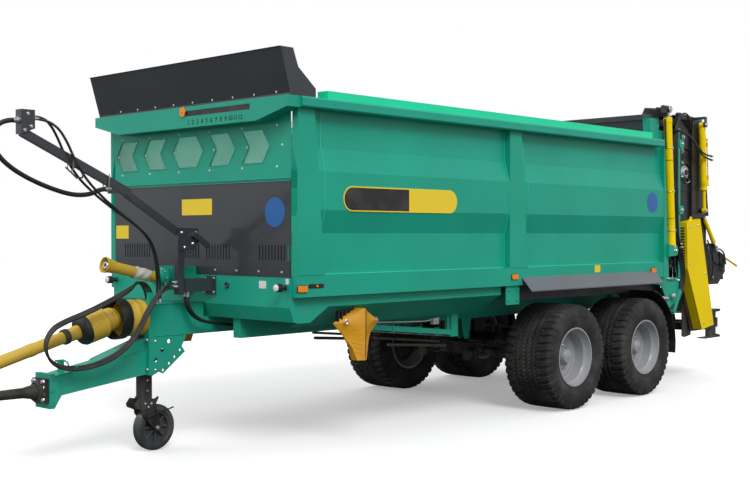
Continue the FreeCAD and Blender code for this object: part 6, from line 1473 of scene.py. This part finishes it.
def limiter_fittings(look):
    """Rods, clevises, levers and brackets round the cover plate behind the discs, with its rubber edge."""
    for side, hand in SIDES:
        tilt = math.radians(40)
        way = np.array([0, math.sin(tilt), -math.cos(tilt)])
        start = at(side * 1.154, 2.475, 1.952)
        tube = Solid().add_turned([(0.0, 0.0), (0.0, 0.02), (0.012, 0.0245), (0.3, 0.0245), (0.302, 0.027),
            (0.368, 0.027), (0.372, 0.0)], start, way, 28, False)
        build(tube, "limiter_ram_" + hand, "machine", "yellow", 35)
        rod = Solid().add_tube([start + way * 0.365, start + way * 0.42, start + way * 0.48], 0.011, 12)
        for s in (-0.012, 0.49):
            rod.add_turned([(-0.014, 0.0), (-0.014, 0.026), (0.014, 0.026), (0.014, 0.0)], start + way * s,
                (1, 0, 0), 20, False)
        for y, z in ((2.62, 1.6), (2.9, 1.42), (2.98, 1.34), (2.72, 1.24)):
            rod.add_bolt(at(side * 1.134, y, z), (side, 0, 0), 0.02)
        build(rod, "limiter_rod_" + hand, "machine", "zinc", 35)
        levers = Solid()
        levers.add_slab(from_tandem([(2.7, 1.66), (2.84, 1.62), (2.9, 1.5), (2.86, 1.38), (2.74, 1.44)]),
            side, 1.131, 1.143)
        levers.add_slab(from_tandem([(2.86, 1.56), (3.02, 1.5), (3.06, 1.4), (2.94, 1.36)]), side, 1.146,
            1.156)
        levers.add_tube(smooth_line([at(side * 1.145, 2.56, 1.7), at(side * 1.165, 2.64, 1.58),
            at(side * 1.16, 2.72, 1.36), at(side * 1.145, 2.66, 1.2)]), 0.009, 8)
        levers.add_tube(smooth_line([at(side * 1.145, 2.8, 1.6), at(side * 1.175, 2.92, 1.58),
            at(side * 1.17, 3.0, 1.46), at(side * 1.145, 2.94, 1.3)]), 0.009, 8)
        levers.add_turned([(0, 0.0), (0, 0.05), (0.02, 0.05), (0.024, 0.044), (0.024, 0.0)],
            at(side * 1.13, 2.93, 1.43), (side, 0, 0), 28, False)
        levers.add_block(at(side * 1.131, 2.58, 1.16), at(side * 1.16, 2.72, 1.2))
        build(levers, "limiter_levers_" + hand, "machine", "black", 35)
        grip = Solid()
        far = at(side * 1.142, 3.364, 1.37)
        grip.add_tube([far + (0, -0.14, 0.047), far + (0, -0.06, 0.02), far + (0, 0.004, -0.001)],
            [0.0135, 0.0145, 0.014], 12)
        build(grip, "setting_grip_" + hand, "machine", "yellow", 40)
    flap = Solid()
    xs = np.linspace(-1.1, 1.1, 45)
    for i in range(44):
        flap.add_prism([(TANDEM + 3.058, 1.405), (TANDEM + 3.064, 1.4),
            (TANDEM + 3.082 + 0.004 * math.sin(i * 2.1), 1.2), (TANDEM + 3.076 + 0.004 * math.sin(i * 2.1),
            1.2)], "x", xs[i] + 0.0015, xs[i + 1] - 0.0015)
    build(flap, "limiter_flap", "machine", "rubber")


def beaters(look):
    """Spiral flights round both beaters at radius r and turn 540 |x| / reach degrees, with bolted tooth
    tips."""
    reach, count = 1.025, 22
    for name, y, z in (("beater_upper", 1.984, 2.51), ("beater_lower", 2.08, 1.7)):
        flights, tips, bolts = Solid(), Solid(), Solid()
        for way in (1, -1):
            for flip in (0, math.pi):
                s = np.linspace(0.02, 1.0, 90)
                angle = math.radians(540) * s + flip
                rows = []
                for thick in (-0.004, 0.004):
                    for radius in (0.126, 0.235):
                        rows.append(np.stack([way * reach * s + thick, TANDEM + y - radius * np.sin(angle),
                            z + radius * np.cos(angle)], -1))
                flights.add_grid(np.stack([rows[0], rows[1], rows[3], rows[2]], 1), wrap_v=True)
        for i in range(count):
            share = (i + 0.5) / count * 2 - 1
            for flip in (0, math.pi):
                angle = math.radians(540) * abs(share) + flip
                turn = Matrix.Translation((reach * share, TANDEM + y, z)) @ Matrix.Rotation(angle, 4, "X")
                tip = [(-0.03, 0.255), (0.036, 0.255), (0.042, 0.36), (0.046, 0.3905), (-0.02, 0.3905),
                    (-0.036, 0.33)]
                tips.add_prism(tip, "x", 0.0075, 0.0155, turn)
                for v in (0.285, 0.335):
                    spot = np.array([[0.0155, 0.0, v]])
                    bolts.add_bolt(moved(spot, turn)[0], (1, 0, 0), 0.014, 0.009)
        build(flights, name + "_flights", name, "black", 40)
        build(tips, name + "_tips", name, "worn", bevel=0.0012)
        build(bolts, name + "_bolts", name, "zinc", 30)
        ends = Solid()
        for side in (1, -1):
            for a in np.radians(np.arange(0, 360, 60)):
                ends.add_bolt((side * 1.085, TANDEM + y + 0.15 * math.cos(a), z + 0.15 * math.sin(a)),
                    (side, 0, 0), 0.016)
        build(ends, name + "_end_bolts", name, "zinc", 30)


def discs(look):
    """Bolts of the throwing vanes, a cone and wear rings on both spreading discs, and the gear heads'
    bolts."""
    for side, name in ((1, "disc_left"), (-1, "disc_right")):
        centre = at(side * 0.52, 2.69, 0.8)
        cone = Solid().add_turned([(0.008, 0.16), (0.012, 0.155), (0.03, 0.1), (0.055, 0.066), (0.066, 0.05),
            (0.07, 0.03), (0.07, 0.0)], centre, (0, 0, 1), 48, False)
        build(cone, name + "_cone", name, "black", 35)
        bolts = Solid()
        for i in range(4):
            angle = math.radians(90 * i + 20)
            for r, a in ((0.16, 0.055), (0.3, 0.02), (0.39, -0.06)):
                spot = centre + (r * math.cos(angle + a), r * math.sin(angle + a), 0.0085)
                bolts.add_bolt(spot, (0, 0, 1), 0.014, 0.009)
        build(bolts, name + "_bolts", name, "zinc", 30)
        rim = Solid().add_turned([(-0.003, 0.455), (-0.003, 0.4695), (0.0, 0.47), (0.008, 0.47),
            (0.0095, 0.468), (0.0095, 0.455)], centre, (0, 0, 1), 96)
        build(rim, name + "_rim", name, "worn", 35)
    heads = Solid()
    for side in (1, -1):
        for i in range(10):
            a = math.radians(36 * i)
            heads.add_bolt(at(side * 0.52 + 0.094 * math.cos(a), 2.69 + 0.094 * math.sin(a), 0.755),
                (0, 0, 1), 0.012)
        for a in np.radians(np.arange(0, 360, 45)):
            p = at(side * 0.52, 2.69, 0)
            heads.add_prism([(0.108, 0.692), (0.122, 0.692), (0.108, 0.745)], "y", -0.004, 0.004,
                Matrix.Translation((p[0], p[1], 0)) @ Matrix.Rotation(a, 4, "Z"))
    build(heads, "gear_head_bolts", "machine", "black", 30)


def hood_fittings(look):
    """Stiffeners, rolled edge, bolts and rubber flap of the rear hood."""
    ribs = Solid()
    for x in np.linspace(-1.0, 1.0, 6):
        for (y0, z0), (y1, z1) in (((1.96, 3.199), (2.49, 3.186)), ((2.566, 3.105), (2.606, 2.62)),
                ((2.612, 2.58), (2.69, 2.02))):
            ribs.add_prism([(TANDEM + y0, z0), (TANDEM + y1, z1), (TANDEM + y1 + 0.01, z1 + 0.008),
                (TANDEM + y0 + 0.01, z0 + 0.01)], "x", x - 0.02, x + 0.02)
    build(ribs, "hood_ribs", "hood", "dark", bevel=0.001)
    edge = Solid().add_tube([at(-1.088, 2.693, 2.004), at(0, 2.693, 2.004), at(1.088, 2.693, 2.004)], 0.0045,
        8)
    build(edge, "hood_edge", "hood", "dark", 50)
    bolts = Solid()
    for x in np.linspace(-1.05, 1.05, 12):
        bolts.add_bolt(at(x, 2.683, 2.06), (0, 1, -0.14), 0.012)
    for side in (1, -1):
        for y, z in ((1.95, 3.17), (2.2, 3.15), (2.42, 3.12)):
            bolts.add_bolt(at(side * 1.092, y, z), (side, 0, 0), 0.012)
    build(bolts, "hood_bolts", "hood", "zinc", 30)


def rear_lamps(look):
    """Lamp boxes with red, amber and white lenses on arms at the rear, round reflectors, and a blank
    plate."""
    boxes, red, amber, white, arms = Solid(), Solid(), Solid(), Solid(), Solid()
    for side in (1, -1):
        x0, x1 = sorted((side * 0.8, side * 1.06))
        arms.add_box(at(x0 + 0.09, 2.76, 0.63), at(x1 - 0.09, 2.98, 0.66))
        boxes.add_box(at(x0, 2.97, 0.6), at(x1, 3.02, 0.72))
        width = (x1 - x0 - 0.02) / 3
        lenses = (red, amber, white) if side > 0 else (white, amber, red)
        for i, lens in enumerate(lenses):
            lens.add_box(at(x0 + 0.01 + i * width, 3.018, 0.612), at(x0 + 0.006 + (i + 1) * width, 3.03,
                0.708))
        red.add_turned([(0, 0.0), (0, 0.036), (0.008, 0.034), (0.01, 0.0)], at(side * 0.7, 3.0, 0.66),
            (0, 1, 0), 28, False)
        arms.add_box(at(side * 0.7 - 0.045, 2.985, 0.6), at(side * 0.7 + 0.045, 3.0, 0.72))
        arms.add_box(at(side * 0.7 - 0.012, 2.75, 0.64), at(side * 0.7 + 0.012, 2.99, 0.655))
    boxes.add_box(at(-0.26, 2.985, 0.6), at(0.26, 2.995, 0.72))
    arms.add_box(at(-0.02, 2.75, 0.64), at(0.02, 2.99, 0.655))
    for each, name, kind in ((boxes, "rear_lamp_boxes", "plastic"), (red, "rear_red_lenses", "red"),
            (amber, "rear_amber_lenses", "amber"), (white, "rear_white_lenses", "white"),
            (arms, "rear_lamp_arms", "black")):
        build(each, name, "machine", kind, bevel=0.0015)


# ---------------------------------------------------------------- stage

def stage(look):
    """A pale floor that the light falls off on, soft lamps, and the camera."""
    reach = FLOOR_REACH
    mesh = bpy.data.meshes.new("floor_plane")
    mesh.from_pydata([(-reach, -reach, 0), (reach, -reach, 0), (reach, reach, 0), (-reach, reach, 0)], [],
        [(0, 1, 2, 3)])
    ground = bpy.data.objects.new("stage_floor", mesh)
    bpy.context.scene.collection.objects.link(ground)
    material, base, put, wire = shader("pale_floor")
    shown = mixed(put, ramp(put, noise(put, 0.6, 4), 0.3, 0.7), FLOOR_SEEN_DARK, FLOOR_SEEN_PALE)
    wire(mixed(put, put("ShaderNodeLightPath").outputs["Is Camera Ray"], FLOOR_LIT_BY_LAMPS, shown),
        "Base Color")
    base.inputs["Roughness"].default_value = 0.9
    base.inputs["Emission Color"].default_value = WHITE
    wire(ramp(put, put("ShaderNodeLightPath").outputs["Is Camera Ray"], 0, 1, 0.0, FLOOR_GLOW),
        "Emission Strength")
    mesh.materials.append(material)

    world = bpy.data.worlds.new("soft_sky")
    bpy.context.scene.world = world
    world.use_nodes = True
    nodes, links = world.node_tree.nodes, world.node_tree.links
    back = nodes["Background"]
    back.inputs["Color"].default_value = WHITE
    rays = nodes.new("ShaderNodeLightPath")
    seen = nodes.new("ShaderNodeMath")
    seen.operation = "MAXIMUM"
    links.new(rays.outputs["Is Camera Ray"], seen.inputs[0])
    links.new(rays.outputs["Is Transmission Ray"], seen.inputs[1])
    strength = nodes.new("ShaderNodeMapRange")
    links.new(seen.outputs[0], strength.inputs["Value"])
    strength.inputs["To Min"].default_value = look.sky_strength
    strength.inputs["To Max"].default_value = 1.0
    links.new(strength.outputs[0], back.inputs["Strength"])

    def sun(name, strength, angle, aim):
        lamp = bpy.data.lights.new(name, "SUN")
        lamp.energy = strength
        lamp.angle = math.radians(angle)
        obj = bpy.data.objects.new(name, lamp)
        obj.rotation_euler = [math.radians(a) for a in aim]
        bpy.context.scene.collection.objects.link(obj)

    sun("key_lamp", look.key_strength, 25, (48, 0, 62))
    sun("fill_lamp", look.fill_strength, 60, (60, 0, -30))

    camera = bpy.data.cameras.new("camera")
    camera.lens = LENS
    camera.sensor_width = SENSOR
    camera.clip_end = 200.0
    eye = bpy.data.objects.new("camera", camera)
    eye.matrix_world = Matrix.Translation(Vector(at(*CAMERA_AT))) @ \
        Matrix.Rotation(CAMERA_AZIMUTH, 4, "Z") @ Matrix.Rotation(math.pi / 2 + CAMERA_PITCH, 4, "X")
    bpy.context.scene.collection.objects.link(eye)
    bpy.context.scene.camera = eye
    bpy.context.scene.view_settings.view_transform = "Standard"


# ---------------------------------------------------------------- add-on

class SPREADER_PG_look(bpy.types.PropertyGroup):
    """Sizes and colours that a user would change."""

    body_colour: FloatVectorProperty(name="Body", description="Paint of the load body and frame",
        subtype="COLOR", default=(0.01, 0.385, 0.262), min=0, max=1)
    # painted highlight: this lighter green stands in for sunlight on the strips' upward faces
    strip_colour: FloatVectorProperty(name="Top strips", description="Paint of the raised strips",
        subtype="COLOR", default=(0.004, 0.8, 0.42), min=0, max=1)
    dark_colour: FloatVectorProperty(name="Dark sheets",
        description="Paint of the front sheets, wings and unit", subtype="COLOR",
        default=(0.04, 0.046, 0.054), min=0, max=1)
    yellow_colour: FloatVectorProperty(name="Yellow", description="Paint of the cylinders and guards",
        subtype="COLOR", default=(1.0, 0.72, 0.0), min=0, max=1)
    tyre_width: FloatProperty(name="Tyre width", description="Width over the sidewalls", default=0.55,
        unit="LENGTH")
    bead_radius: FloatProperty(name="Bead radius", description="Radius of the rim's bead seat",
        default=0.2858, unit="LENGTH")
    tread_depth: FloatProperty(name="Tread depth", description="Depth of the shoulder grooves", default=0.017,
        unit="LENGTH")
    tread_pitches: IntProperty(name="Tread pitches", description="Shoulder lugs round a tyre", default=42,
        min=20)
    wheel_nuts: IntProperty(name="Wheel nuts", description="Nuts on each hub", default=10, min=4)
    sky_strength: FloatProperty(name="Sky", description="Strength of the even light", default=0.72, min=0)
    key_strength: FloatProperty(name="Key lamp", description="Strength of the main lamp", default=1.5, min=0)
    fill_strength: FloatProperty(name="Fill lamp", description="Strength of the second lamp", default=0.5,
        min=0)


def operator(work):
    """An operator class that runs one of the builders above with the scene's settings."""

    def execute(self, context):
        work(context.scene.spreader)
        return {"FINISHED"}

    key = work.__name__
    return type("SPREADER_OT_" + key, (bpy.types.Operator,), {"bl_idname": "spreader." + key,
        "bl_label": key.replace("_", " ").capitalize(), "__doc__": work.__doc__, "execute": execute})


OPERATORS = [operator(work) for work in (
    wheels, side_fittings, wing_fittings, front_fittings, shield_fittings, drawbar_fittings, drive_line,
    jack_fittings, mast_fittings, hoses, chocks, under_body, gate_fittings, unit_fittings, ram_fittings,
    limiter_fittings, beaters, discs, hood_fittings, rear_lamps, stage)]


class SPREADER_PT_panel(bpy.types.Panel):
    """Lists the settings and the pieces in the 3D view's sidebar."""

    bl_idname = "SPREADER_PT_panel"
    bl_label = "Muck spreader"
    bl_space_type = "VIEW_3D"
    bl_region_type = "UI"
    bl_category = "Spreader"

    def draw(self, context):
        for name in SPREADER_PG_look.__annotations__:
            self.layout.prop(context.scene.spreader, name)
        for each in OPERATORS:
            self.layout.operator(each.bl_idname)


CLASSES = [SPREADER_PG_look, SPREADER_PT_panel] + OPERATORS


def register():
    for each in CLASSES:
        bpy.utils.register_class(each)
    bpy.types.Scene.spreader = PointerProperty(type=SPREADER_PG_look)


def unregister():
    del bpy.types.Scene.spreader
    for each in reversed(CLASSES):
        bpy.utils.unregister_class(each)


def main():
    """Builds every piece in order and writes the boxes before and after."""
    register()
    FINISH.update(finishes(bpy.context.scene.spreader))
    finish_nodes()
    for each in OPERATORS:
        group, name = each.bl_idname.split(".")
        getattr(getattr(bpy.ops, group), name)()


if __name__ == "__main__":
    main()
